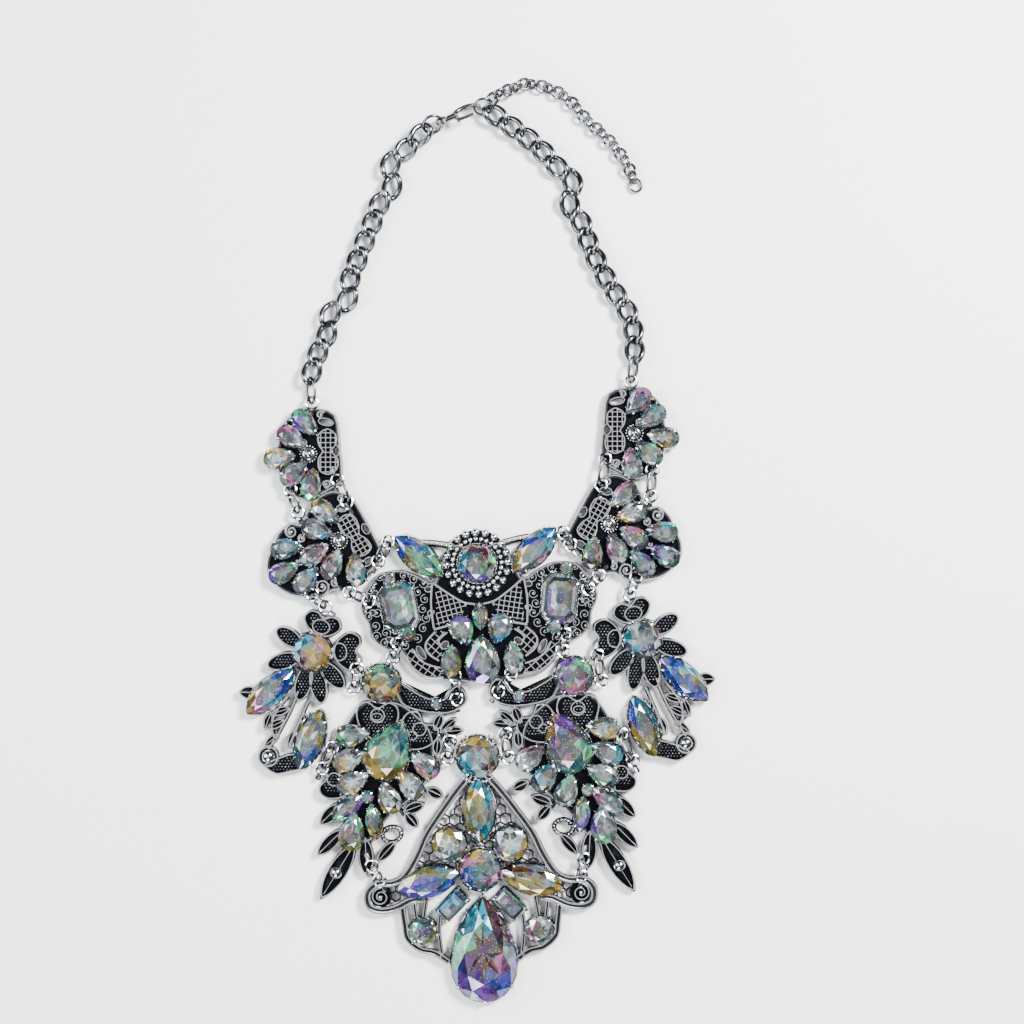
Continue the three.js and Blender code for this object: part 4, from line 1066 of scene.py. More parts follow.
@dataclass
class Casting:
    """One casting: its metal, the stones set in it and the eyelets that its jump rings pass."""

    node: str
    x: float
    y: float
    turn: float = 0.0
    side: Side = Side.LEFT
    seed: int = 1
    metal: Shaper = field(default_factory=Shaper)
    small_stones: Shaper = field(default_factory=Shaper)
    main_stones: dict = field(default_factory=dict)
    dots: list = field(default_factory=list)
    strands: list = field(default_factory=list)

    eyelets = {}
    middle = False
    eyelet_radius = 1.7
    eyelet_rod = 0.42
    strand_radius = 0.24
    smooth_under = 40
    petal_rim, petal_floor, petal_lip = 2.3, 1.7, 0.12
    petal_wire, petal_rod, petal_inset = 2.5, 0.34, 0.42
    petal_beads = (0.95, 1.86, 0.32)

    def __post_init__(self) -> None:
        """Starts the source of the casting's small differences."""
        self.rng = random.Random(self.seed)

    @property
    def hand(self) -> str:
        """Letter of the casting's hand."""
        return "L" if self.side is Side.LEFT else "R"

    def draw(self) -> None:
        """Draws the casting in its own millimetres."""
        raise NotImplementedError

    def to_world(self, x: float, y: float) -> Point2:
        """Point of the casting in the necklace's millimetres."""
        return turned([(self.side.value * x, y)], self.x, self.y, self.turn)[0]

    def to_own(self, x: float, y: float) -> Point2:
        """Point of the necklace in the casting's millimetres."""
        own = turned([(x - self.x, y - self.y)], 0, 0, -self.turn)[0]
        return (self.side.value * own[0], own[1])

    def eye(self, name: str, hand: str) -> Point2:
        """Middle of a named eyelet on a hand, in the casting's millimetres."""
        x, y = self.eyelets[name][:2]
        return (-x if self.middle and hand == "R" else x, y)

    def add_eyelet(self, name: str, hand: str, target: Point2) -> None:
        """Adds an eyelet and the neck that holds it.

        Args:
            name: Name of the eyelet.
            hand: Hand that it is on.
            target: Point that its ring leads to, in the necklace's millimetres.
        """
        x, y = self.eye(name, hand)
        own = self.eyelets[name]
        if len(own) > 2:
            angle = 180 - own[2] if self.middle and hand == "R" else own[2]
        else:
            tx, ty = self.to_own(*target)
            angle = math.degrees(math.atan2(ty - y, tx - x)) + 180
        loop = turned(ellipse(self.eyelet_radius, self.eyelet_radius, 20), x, y, 0)
        self.metal.loop(loop, RIM, self.eyelet_rod, 8)
        neck = turned([(1.8, 0), (2.6, 0), (3.6, 0)], x, y, angle)
        line = [(*point, high) for point, high in zip(neck, (2.3, 1.9, 1.5))]
        self.metal.tube(line, 0.7, False, 8, 1.2)

    def small(self, kind: Kind, x: float, y: float, turn: float, long: float, wide: float,
              claws: int = 4, mood: tuple = ()) -> None:
        """Sets a small stone that is part of the casting.

        Args:
            kind: Its cut.
            x: Middle along X.
            y: Middle along Y.
            turn: Turn of its long side.
            long: Length.
            wide: Width.
            claws: Claws that hold it.
            mood: Names of its colours.
        """
        rise = min(1.2, 0.24 * wide)
        gem = Gem(kind, x, y, turn, long, wide, 3.4, crown_fixed=rise, mood=mood)
        gem.seat(self.metal, claws, 0.45)
        gem.cut(self.small_stones, self.rng)

    def main(self, name: str, kind: Kind, x: float, y: float, turn: float, long: float,
             wide: float, claws: int = 4) -> None:
        """Sets a large stone under its node's name, as a piece of its own; see Casting.small."""
        gem = Gem(kind, x, y, turn, long, wide, mood=STONE_MOODS[name])
        gem.seat(self.metal, claws, 0.8)
        self.main_stones[name] = Shaper()
        gem.cut(self.main_stones[name], self.rng)

    def ground(self, outline: list, holes: list, rim: float = 0.45) -> None:
        """Adds a base plate with a raised edge, and a raised edge round each opening."""
        outline = counter_clockwise(outline)
        self.metal.plate(outline, holes, BACK, GROUND)
        self.metal.loop(grown(outline, -rim * 0.8), FIELD + 0.05, rim * 0.75)
        self.metal.plate(outline, [grown(outline, -1.0)], GROUND - 0.3, FIELD - 0.1)
        for hole in holes:
            self.metal.loop(grown(counter_clockwise(hole), 0.28), FIELD, 0.26)

    def lattice(self, outline: list, pitch: float, degrees: float) -> None:
        """Covers a field with two layers of raised wires, from their pitch and direction."""
        for layer, turn in enumerate((degrees, degrees + 90)):
            z = FIELD + 0.08 * layer
            self.strands.extend(((*a, z), (*b, z)) for a, b in strands_in(outline, pitch, turn))

    def honeycomb(self, outline: list, side: float) -> None:
        """Fills an opening with a net of hexagons.

        Args:
            outline: Outline of the opening.
            side: Length of a hexagon's side.
        """
        wide, tall = side * math.sqrt(3), side * 1.5
        low, high = box_of(outline)
        for x, y in staggered((low[0] - wide, low[1] - tall), (high[0] + wide, high[1] + tall),
                              wide, tall):
            corners = [(x + side * math.sin(math.radians(60 * k)),
                        y + side * math.cos(math.radians(60 * k))) for k in range(4)]
            for a, b in zip(corners, corners[1:]):
                if inside(a, outline) and inside(b, outline):
                    self.strands.extend(((*a, z), (*b, z)) for z in (1.1, 1.5, 1.9))

    def pave(self, outline: list, pitch: float, high: float, radius: float) -> None:
        """Fills a field with small beads, from their pitch, height and radius."""
        for x, y in staggered(*box_of(outline), pitch, pitch * 0.87):
            if inside((x, y), outline):
                self.dots.append((x, y, high, radius))

    def bead_line(self, line: list, pitch: float, high: float, radius: float,
                  closed: bool = False) -> None:
        """Sets beads along a line at an even pitch.

        Args:
            line: Points of the line.
            pitch: Distance between the beads.
            high: Height of the beads' middles.
            radius: Radius of the beads.
            closed: Whether the line closes on itself.
        """
        path = line + line[:1] if closed else line
        long = sum(math.dist(a, b) for a, b in zip(path, path[1:]))
        step, done, wanted = long / max(1, round(long / pitch)), 0.0, 0.0
        for a, b in zip(path, path[1:]):
            part = math.dist(a, b)
            while wanted <= done + part + 1e-6 and part > 0:
                share = (wanted - done) / part
                self.dots.append((a[0] + (b[0] - a[0]) * share, a[1] + (b[1] - a[1]) * share,
                                  high, radius))
                wanted += step
            done += part
        if closed:
            self.dots.pop()

    def petal(self, outline: list, field_share: float, crown: float = 0.12) -> None:
        """Adds a dished petal, with beads in a share of its field, and a rise in its middle."""
        outline = counter_clockwise(outline)
        self.metal.dish(outline, BACK, self.petal_rim, self.petal_floor, self.petal_lip, crown)
        self.metal.loop(grown(outline, -self.petal_inset), self.petal_wire, self.petal_rod)
        self.pave(shrunk(outline, field_share + 0.08), *self.petal_beads)

    def heart(self, x: float, y: float, turn: float, size: float) -> None:
        """Adds a heart-shaped petal, from its middle, its lobes' direction and radius."""
        shape = [(-2.3, 0.0), (-1.2, 1.5), (0.2, 2.0), (1.1, 1.7), (1.4, 0.9), (0.9, 0.0),
                 (1.4, -0.9), (1.1, -1.7), (0.2, -2.0), (-1.2, -1.5)]
        outline = [(px * size, py * size) for px, py in shape]
        self.petal(turned(smooth(outline, 3), x, y, turn), 0.62, 0.05)
        curl = turned([(0.1 * size, 0)], x, y, turn)[0]
        self.metal.loop(turned(ellipse(size * 0.62, size * 0.62, 16), *curl, 0), WIRE + 0.05, 0.28)

    def placed(self, bench: "Bench", x: float, y: float, z: float) -> Point3:
        """Point of the casting in the frame, in metres."""
        wx, wy = self.to_world(x, y)
        return ((wx + bench.shift[0]) * MM, (wy + bench.shift[1]) * MM, z * MM)

    def mesh(self, bench: "Bench", shaper: Shaper, name: str,
             coloured: bool = True) -> bpy.types.Mesh:
        """Makes the mesh of a shaper's shells.

        Args:
            bench: Knows where the necklace lies.
            shaper: Holds the shells.
            name: Name of the mesh.
            coloured: Whether the faces carry colours.

        Returns:
            The mesh.
        """
        mesh = bpy.data.meshes.new(name)
        faces = [face[::-1] if self.side is Side.RIGHT else face for face in shaper.faces]
        mesh.from_pydata([self.placed(bench, *p) for p in shaper.points], [], faces)
        if coloured:
            paint = mesh.color_attributes.new("facet", "FLOAT_COLOR", "CORNER")
            values = []
            for polygon, colour in zip(mesh.polygons, shaper.colours):
                values.extend(list(colour) * polygon.loop_total)
            paint.data.foreach_set("color", values)
        return mesh

    def build(self, bench: "Bench") -> None:
        """Turns the drawing into pieces of the scene, with the bench's finishes."""
        parts = [self.mesh(bench, self.metal, f"{self.node}_metal", False)]
        if self.dots:
            beads = [(*self.placed(bench, *dot[:3]), dot[3] * MM) for dot in self.dots]
            parts.append(dots_mesh(beads, bench.cast, self.seed))
        if self.strands:
            ends = [(self.placed(bench, *a), self.placed(bench, *b)) for a, b in self.strands]
            parts.append(lattice_mesh(ends, self.strand_radius * MM, bench.cast, self.seed))
        cast = add_piece(f"{self.node}_cast", merged(parts), bench.cast,
                         self.smooth_under)
        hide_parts(self.node)
        if self.small_stones.faces:
            mesh = self.mesh(bench, self.small_stones, f"{self.node}_small")
            add_piece(f"{self.node}_stones", mesh, bench.crystal, 0)
        for name, shaper in self.main_stones.items():
            mesh = self.mesh(bench, shaper, f"{name}_mesh")
            stone = add_piece(f"{name}_cut", mesh, bench.crystal, 0)
            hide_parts(name)


def merged(meshes: list) -> bpy.types.Mesh:
    """Joins meshes into the first one and removes the others."""
    shell = bmesh.new()
    for mesh in meshes:
        shell.from_mesh(mesh)
    shell.to_mesh(meshes[0])
    shell.free()
    for mesh in meshes[1:]:
        bpy.data.meshes.remove(mesh)
    return meshes[0]


def add_piece(name: str, mesh: bpy.types.Mesh, finish: bpy.types.Material,
              smooth_under: float, body: str = "necklace") -> bpy.types.Object:
    """Adds a piece to the scene.

    Args:
        name: Name of the piece.
        mesh: Its mesh in the frame's metres.
        finish: Its material.
        smooth_under: Angle in degrees under which its faces are shaded smooth, 0 for flat.
        body: Body that it rides on.

    Returns:
        The piece.
    """
    mesh.materials.clear()
    mesh.materials.append(finish)
    mesh.polygons.foreach_set("material_index", [0] * len(mesh.polygons))
    mesh.polygons.foreach_set("use_smooth", [smooth_under > 0] * len(mesh.polygons))
    if smooth_under > 0:
        mesh.set_sharp_from_angle(angle=math.radians(smooth_under))
    mesh.update()
    piece = bpy.data.objects.new(name, mesh)
    bpy.context.scene.collection.objects.link(piece)
    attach(piece, body)
    LOG.info("%s: %d faces on %s", name, len(mesh.polygons), body)
    return piece


# Castings


@dataclass
class Plate(Casting):
    """A plate with openings, a lattice in the shape of an eight, a boss, pears and scrolls."""

    stone_long: float = 9.4
    stone_wide: float = 6.0

    # For each kind of plate: outline, openings, the eight's outline, place and wire direction,
    # middles and turns of the stones, and the scrolls as Shaper.scroll takes them
    outline = openings = eight = eight_place = stones = scrolls = ()
    wire_turn = 0

    def draw(self) -> None:
        """Draws the plate from its tables."""
        self.ground(smooth(self.outline, 3), [turned(ellipse(a, b, 10), x, y, turn)
                                              for a, b, x, y, turn in self.openings])
        eight = turned(smooth(self.eight, 3), *self.eight_place)
        self.lattice(eight, 1.4, self.wire_turn)
        self.metal.loop(eight, WIRE, 0.3)
        for x, y, turn in self.stones:
            self.small(Kind.PEAR, x, y, turn, self.stone_long, self.stone_wide)
        self.metal.dome(0, 0, 1.8, 2.1, 0.9, 18)
        self.metal.dome(0, 0, 2.4, 1.3, 1.3, 16)
        self.bead_line(ellipse(2.35, 2.35, 20), 0.8, 2.05, 0.3, True)
        for scroll in self.scrolls:
            self.metal.scroll(*scroll)


@dataclass
class UpperPlate(Plate):
    """Small plate at the end of a neck chain."""

    eyelets = {"chain": (1.0, 14.6), "inner": (8.4, -7.5), "outer": (-5.1, -10.5)}
    outline = [(1.0, 13.4), (-1.9, 12.8), (-5.9, 10.5), (-8.3, 6.8), (-8.8, 3.0), (-9.6, -2.0),
               (-7.4, -8.6), (-5.4, -11.4), (-1.4, -13.2), (0.9, -12.9), (6.9, -9.9), (9.7, -6.8),
               (9.2, 2.0), (7.7, 11.4)]
    openings = ((1.9, 0.75, 5.0, 9.2, -12), (0.7, 1.3, 7.9, 1.0, 0), (1.0, 0.7, 5.4, -8.4, 0))
    eight = [(5.3, 7.2), (2.8, 5.4), (3.0, 2.6), (4.1, 0.8), (2.9, -1.4), (3.2, -4.6),
             (5.8, -5.8), (8.2, -4.2), (8.2, -1.2), (6.6, 0.9), (7.9, 3.0), (7.6, 5.8)]
    eight_place = (0, 0, 0)
    stones = ((-0.9, 8.9, -46), (-4.7, 4.6, -34), (-8.1, -1.1, 9), (-3.9, -5.4, 39),
              (0.8, -8.5, 82))
    scrolls = ((-1.4, 3.4, 1.2, 200, 1.2), (3.4, 11.2, 1.1, 30, 1.2), (5.2, -8.4, 1.2, 240, 1.2))


@dataclass
class ShoulderPlate(Plate):
    """Lobed plate below an upper plate."""

    eyelets = {"outer": (-11.8, 8.0), "inner": (2.3, 11.0), "corner": (11.2, -5.9),
               "bottom": (3.0, -14.8), "flower": (-7.7, -15.4)}
    outline = [(-10.6, 4.8), (-9.2, 8.9), (-6.7, 12.1), (-2.3, 14.3), (1.7, 13.6), (4.2, 12.0),
               (8.2, 5.2), (12.2, -2.6), (12.4, -5.2), (8.2, -9.6), (4.2, -13.2), (1.6, -14.4),
               (-1.4, -14.2), (-5.1, -16.2), (-9.2, -16.4), (-14.0, -15.6), (-18.0, -13.2),
               (-20.6, -9.7), (-20.7, -5.2), (-18.8, -1.2), (-17.6, 2.0), (-14.4, 5.1)]
    openings = ((1.5, 0.8, 1.0, 9.4, 10), (1.3, 0.7, 7.6, 3.4, -60), (1.3, 0.8, 8.2, -6.0, 40),
                (0.9, 0.9, -13.6, 2.4, 0))
    eight = [(6.4, 0.0), (5.4, 2.5), (2.6, 2.4), (0.4, 1.3), (-2.0, 2.5), (-5.2, 2.4),
             (-6.4, 0.0), (-5.2, -2.4), (-2.0, -2.5), (0.4, -1.3), (2.6, -2.4), (5.4, -2.5)]
    eight_place = (4.4, 1.6, -60)
    wire_turn = 30
    stones = ((-3.9, 8.1, -40), (-6.3, 3.1, -18), (-6.9, -3.6, 33), (-1.8, -6.8, 67),
              (4.8, -8.1, 97), (-15.0, -2.2, 8), (-15.7, -8.9, 28), (-9.2, -11.1, 48))
    scrolls = ((-13.7, 2.6, 1.9, 100, 1.5), (-4.9, -13.2, 2.1, 300, 1.5),
               (-1.2, -12.2, 1.2, 60, 1.2), (-11.0, -5.9, 1.2, 160, 1.2),
               (-10.6, 0.6, 1.2, 100, 1.2), (0.6, 12.0, 1.1, 60, 1.2))


@dataclass
class FlowerDrop(Casting):
    """Flower with two pairs of petals, loose petals, a stem of leaves and a crescent."""

    eyelets = {"top": (3.7, 13.1), "petal": (12.8, -4.5), "bottom": (5.9, -27.0, 160)}
    spray_long: float = 5.8
    spray_wide: float = 2.4
    boss = (-12.6, -29.7)

    lobes = [(5.2, 0.0), (6.4, 3.6), (9.4, 5.9), (12.2, 4.6), (12.6, 2.0), (11.4, 0.0),
             (12.6, -2.0), (12.2, -4.6), (9.4, -5.9), (6.4, -3.6)]
    stems = ([(-4.0, -11.0), (-6.2, -16.5), (-9.5, -22.8), (-12.5, -27.6)],
             [(-1.0, -13.6), (-4.2, -21.0), (-6.6, -27.0)],
             [(-7.0, -12.6), (-10.4, -17.0), (-11.6, -21.0), (-10.6, -25.0)])
    spray = ((-6.3, -15.7, 200), (-7.7, -19.2, 205), (-9.2, -23.2, 218), (-2.6, -16.9, 280),
             (-4.9, -22.0, 250), (-11.7, -16.8, 250))
    crescent = [(-14.0, -32.0), (-10.6, -34.9), (-6.3, -34.3), (-2.6, -33.2), (-2.6, -30.2),
                (-4.9, -28.6), (-9.2, -29.6)]

    def draw(self) -> None:
        """Draws the flower, its stem and its crescent."""
        for turn, reach in ((71, 11.9), (2, 14.2)):
            pair = smooth([(x * reach / 12.6, y * 0.98) for x, y in self.lobes], 3)
            self.petal(turned(pair, 0, 0, turn), 0.6)
            between = turned([(7.9, 0)], 0, 0, turn)[0]
            self.metal.loop(turned(ellipse(2.0, 2.5, 18), *between, turn), WIRE + 0.05, 0.3)
        for turn, reach in ((146, 12.5), (196, 13.6), (254, 14.4), (281, 15.0), (312, 13.7)):
            long = reach - 3.6
            middle = turned([(3.6 + long / 2, 0)], 0, 0, turn)[0]
            self.petal(turned(ellipse(long / 2, 2.65, 24), *middle, turn), 0.62)
        self.metal.plate(ellipse(6.2, 6.2, 24), [], BACK, 1.8)
        self.main(f"flower_stone_{self.hand}", Kind.ROUND, 0, 0, 15, 11, 11, 6)
        for line in self.stems:
            self.metal.rope(line, 0.62, 1.3)
            self.metal.rope(line, 0.45, 2.15)
        self.main(f"upper_marquise_{self.hand}", Kind.MARQUISE, -12.0, -11.2, 43, 18, 8)
        self.main(f"lower_marquise_{self.hand}", Kind.MARQUISE, -0.6, -24.9, 70, 18, 8)
        self.metal.leaf((-15.2, -11.4), (-21.0, -11.3), 3.8)
        for x, y, turn in self.spray:
            tip = turned([(self.spray_long, 0)], x, y, turn)[0]
            self.metal.leaf((x, y), tip, self.spray_wide, 0.9, WIRE)
        self.petal(smooth(self.crescent, 4), 0.7, 0.1)
        self.metal.plate(turned(ellipse(3.1, 3.1, 20), *self.boss, 0), [], BACK, 1.9)
        self.metal.loop(turned(ellipse(2.75, 2.75, 24), *self.boss, 0), WIRE - 0.05, 0.42)
        self.metal.dome(*self.boss, 1.6, 2.2, 2.1, 20)


@dataclass
class ClusterDrop(Casting):
    """Cluster of stones with a crescent arm, hearts, a sprig and leaves."""

    eyelets = {"flower": (-7.9, -1.2, 0), "wing": (3.2, 7.3), "arm": (21.5, -4.5),
               "heart": (-16.9, -24.2), "sprig": (19.5, -16.5, 156), "bottom": (-2.8, -52.3)}
    stone_long: float = 9.8
    stone_wide: float = 6.6

    arm = [(3.6, 1.2), (8.0, -1.2), (13.0, -3.9), (17.6, -4.4), (19.4, -2.0), (21.7, -0.4),
           (24.0, -2.4), (24.3, -5.9), (19.0, -8.8), (11.0, -8.2), (5.2, -5.6)]
    body = [(-4.5, -5.0), (-9.5, -10.5), (-12.6, -18.0), (-12.4, -26.0), (-12.0, -33.0),
            (-11.0, -39.0), (-8.4, -44.6), (-4.2, -45.6), (-1.2, -42.6), (3.0, -37.6),
            (8.6, -33.0), (13.6, -27.2), (15.0, -20.4), (13.8, -13.4), (8.6, -8.0), (4.0, -5.4)]
    pears = ((-8.2, -14.8, 8), (-9.4, -21.7, 25), (-8.2, -28.2, 25), (2.0, -32.7, 110),
             (8.1, -28.8, 125), (12.3, -23.1, 140))
    others = ((Kind.PEAR, -8.4, -42.5, 80, 11.0, 7.5),
              (Kind.MARQUISE, -9.8, -35.5, 40, 11.0, 6.0, 2),
              (Kind.MARQUISE, -2.2, -39.5, 97, 10.5, 5.0, 2),
              (Kind.ROUND, -4.1, -32.5, 0, 3.8, 3.8), (Kind.ROUND, 15.7, -5.9, 0, 3.4, 3.4))
    stems = ([(14.8, -14.4), (18.0, -14.0), (20.0, -16.0)], [(12.0, -30.2), (14.2, -31.6)],
             [(5.0, -35.8), (6.6, -38.0)], [(0.0, -42.5), (1.6, -42.2)])
    leaves = (
        ((16.7, -14.2), (21.5, -9.9), 2.8), ((17.6, -13.9), (23.6, -13.4), 2.8),
        ((16.2, -15.4), (15.6, -21.0), 2.6), ((15.2, -13.6), (17.2, -8.6), 2.8),
        ((6.1, -36.8), (12.4, -34.5), 3.2), ((6.6, -36.8), (10.4, -41.4), 3.2),
        ((4.2, -45.0), (-1.3, -51.2), 3.2), ((-4.8, -43.8), (-4.1, -55.7), 4.4),
        ((-11.4, -34.2), (-17.8, -40.6), 4.0), ((-10.8, -41.6), (-18.6, -49.4), 4.0),
        ((-7.4, -45.4), (-17.6, -62.0), 5.8), ((12.8, -30.2), (17.6, -32.6), 3.2))

    def draw(self) -> None:
        """Draws the arm, the body and what is set on them."""
        self.petal(smooth(self.arm, 3), 0.74, 0.08)
        openings = [turned(ellipse(1.0, 1.0, 12), 8.8, -15.0, 0),
                    turned(ellipse(1.2, 0.7, 12), -1.4, -9.6, 0)]
        self.ground(smooth(self.body, 3), openings, 0.4)
        self.main(f"cluster_round_{self.hand}", Kind.ROUND, 0, 0, 15, 11, 11, 6)
        for heart in ((-1.2, -9.6, 88, 3.2), (10.6, -13.4, 52, 3.0), (-13.4, -27.6, 168, 3.0)):
            self.heart(*heart)
        self.main(f"cluster_pear_{self.hand}", Kind.PEAR, 2.1, -19.1, 66, 18, 13, 6)
        for x, y, turn in self.pears:
            self.small(Kind.PEAR, x, y, turn, self.stone_long, self.stone_wide)
        for stone in self.others:
            self.small(*stone)
        for line in self.stems:
            self.metal.rope(line, 0.7, 1.4)
        for leaf in self.leaves:
            self.metal.leaf(*leaf)
        self.metal.dome(-13.1, -54.3, 2.0, 1.9, 1.7, 16)
        loop = turned(ellipse(2.75, 2.2, 20), 2.9, -43.4, 10)
        self.metal.loop(loop, 1.4, 0.7, 8)
        self.bead_line(loop, 1.0, 2.2, 0.34, True)


@dataclass
class ButterflyPlate(Casting):
    """Wide plate with two pierced wings round a centre stone."""

    eyelets = {"shoulder": (-25.0, 7.5, 0), "outer": (-31.4, -9.0), "wing": (-24.0, -21.5),
               "bottom": (-8.1, -32.0)}
    middle = True
    half = [(-12.3, -4.4), (-17.2, -2.5), (-21.8, -0.7), (-27.1, -1.0), (-29.9, -2.8),
            (-33.7, -8.7), (-33.9, -12.2), (-32.2, -15.7), (-31.5, -19.5), (-29.2, -22.1),
            (-25.9, -23.9), (-22.9, -24.2), (-20.5, -29.1), (-16.4, -32.4), (-11.5, -33.0),
            (-6.0, -33.6)]
    holes = ((-29.8, -7.1, 0.8, 0.5, 60), (-19.4, -5.3, 0.9, 0.45, 30),
             (-14.0, -13.4, 0.7, 0.5, 30), (-25.9, -20.5, 1.1, 0.5, -20),
             (-17.4, -24.6, 1.8, 0.6, -60), (-30.6, -12.4, 0.6, 0.5, 0),
             (-10.6, -22.8, 1.0, 0.6, 40), (-14.4, -6.6, 0.7, 0.5, 0))
    bar = [(-7.0, 5.4), (-13.0, 6.6), (-19.0, 7.0), (-22.6, 7.6)]
    wing_field = [(-12.2, -5.6), (-3.4, -11.2), (-5.2, -14.6), (-12.6, -17.4)]
    outer_crescent = [(-22.4, -24.2), (-20.2, -28.2), (-16.4, -31.1), (-11.6, -31.6),
                      (-11.5, -29.8), (-14.4, -29.0), (-17.6, -27.2), (-19.9, -23.9)]
    inner_crescent = [(-13.3, -18.9), (-16.2, -22.2), (-15.5, -25.1), (-12.6, -27.2),
                      (-11.4, -24.2), (-12.5, -21.7), (-9.8, -19.2)]
    scroll_places = (
        (-15.4, -4.9), (-18.3, -3.6), (-21.2, -2.3), (-27.9, -2.6), (-30.2, -4.9), (-31.9, -7.6),
        (-32.6, -10.6), (-31.7, -13.6), (-30.0, -16.2), (-30.0, -19.2), (-27.6, -21.4),
        (-24.7, -22.6), (-21.7, -22.3), (-17.4, -7.2), (-15.5, -9.4), (-16.2, -12.2),
        (-15.3, -14.9), (-16.4, -17.7), (-18.2, -20.3), (-27.2, -18.4), (-29.4, -9.4),
        (-29.3, -12.4))
    ribs = (
        ((-23.1, -23.6), (-20.3, -28.4), (-16.2, -31.6), (-11.5, -32.0)),
        ((-13.1, -18.9), (-15.9, -22.0), (-15.3, -25.0), (-12.4, -27.2)),
        ((-1.2, -11.6), (-4.6, -10.8), (-8.6, -8.2), (-12.8, -5.0)),
        ((-5.2, -15.4), (-9.0, -17.2), (-13.4, -18.2)),
        ((-13.2, -5.2), (-13.8, -11.0), (-13.4, -17.8)))
    outer_rib = [(-20.0, -23.4), (-17.6, -26.9), (-14.4, -28.6), (-11.4, -29.4)]
    inner_rib = [(-9.6, -19.2), (-12.3, -21.6), (-11.2, -24.0)]
    bead_edge = [(-29.6, -4.4), (-32.2, -8.6), (-32.6, -12.0)]

    def draw(self) -> None:
        """Draws the wings, the bead rings and the stones between them."""
        whole = ([(0.0, 4.0), (-7.6, 5.6)] + self.half + [(0.0, -34.6)]
                 + mirrored(self.half[::-1], -1) + [(7.6, 5.6)])
        openings = [mirrored(turned(ellipse(a, b, 12), x, y, turn), hand)
                    for hand in (1, -1) for x, y, a, b, turn in self.holes]
        self.ground(smooth(whole, 3), openings)
        for hand in (1, -1):
            self.draw_wing(hand)
        self.main("butterfly_round", Kind.ROUND, 0, 0, 15, 11, 11, 8)
        self.metal.plate(ellipse(9.6, 9.6, 32), [], BACK, 1.9)
        self.bead_line(ellipse(7.0, 7.0, 60), 1.55, 2.2, 0.72, True)
        self.bead_line(ellipse(8.9, 8.9, 60), 2.75, 1.9, 1.15, True)
        self.small(Kind.MARQUISE, 0, -15.0, 90, 8.0, 4.5, 2)
        self.small(Kind.PEAR, 0, -27.4, 90, 14.0, 10.0, 6)

    def draw_wing(self, hand: int) -> None:
        """Draws one wing: the left one for hand 1, the right one for hand -1."""
        letter = "L" if hand == 1 else "R"
        self.lattice(mirrored(self.wing_field, hand), 1.45, 12 * hand)
        bar = mirrored(self.bar, hand)
        self.metal.rope(bar, 0.95, 1.2)
        self.metal.rope(bar, 0.6, 2.1)
        self.bead_line(smooth(bar, 4, False), 1.5, 2.7, 0.42)
        self.main(f"butterfly_navette_{letter}", Kind.MARQUISE, -16.6 * hand, 2.9,
                  -43 * hand, 17, 8)
        self.main(f"butterfly_octagon_{letter}", Kind.OCTAGON, -23.05 * hand, -11.2,
                  90 + 8 * hand, 14, 10)
        self.small(Kind.PEAR, -5.3 * hand, -19.0, 90 - hand * 160, 9.0, 7.0)
        self.small(Kind.PEAR, -8.9 * hand, -27.3, 90 - 6 * hand, 9.4, 6.0)
        self.small(Kind.ROUND, -20.7 * hand, -19.1, 0, 4.4, 4.4)
        self.small(Kind.ROUND, -25.5 * hand, -3.0, 0, 3.8, 3.8)
        for x, y in self.scroll_places:
            self.metal.scroll(hand * x, y, 1.42, self.rng.uniform(0, 360), 1.2, 2.42, 0.2, hand)
        for rib in self.ribs:
            self.metal.rope(mirrored(rib, hand), 0.5, WIRE)
        self.metal.rope(mirrored(self.outer_rib, hand), 0.45, WIRE - 0.05)
        self.metal.rope(mirrored(self.inner_rib, hand), 0.42, WIRE - 0.05)
        self.lattice(smooth(mirrored(self.outer_crescent, hand), 2), 1.8, 52 * hand)
        self.lattice(smooth(mirrored(self.inner_crescent, hand), 2), 1.7, 45 * hand)
        self.bead_line(mirrored(self.bead_edge, hand), 1.0, WIRE, 0.38)


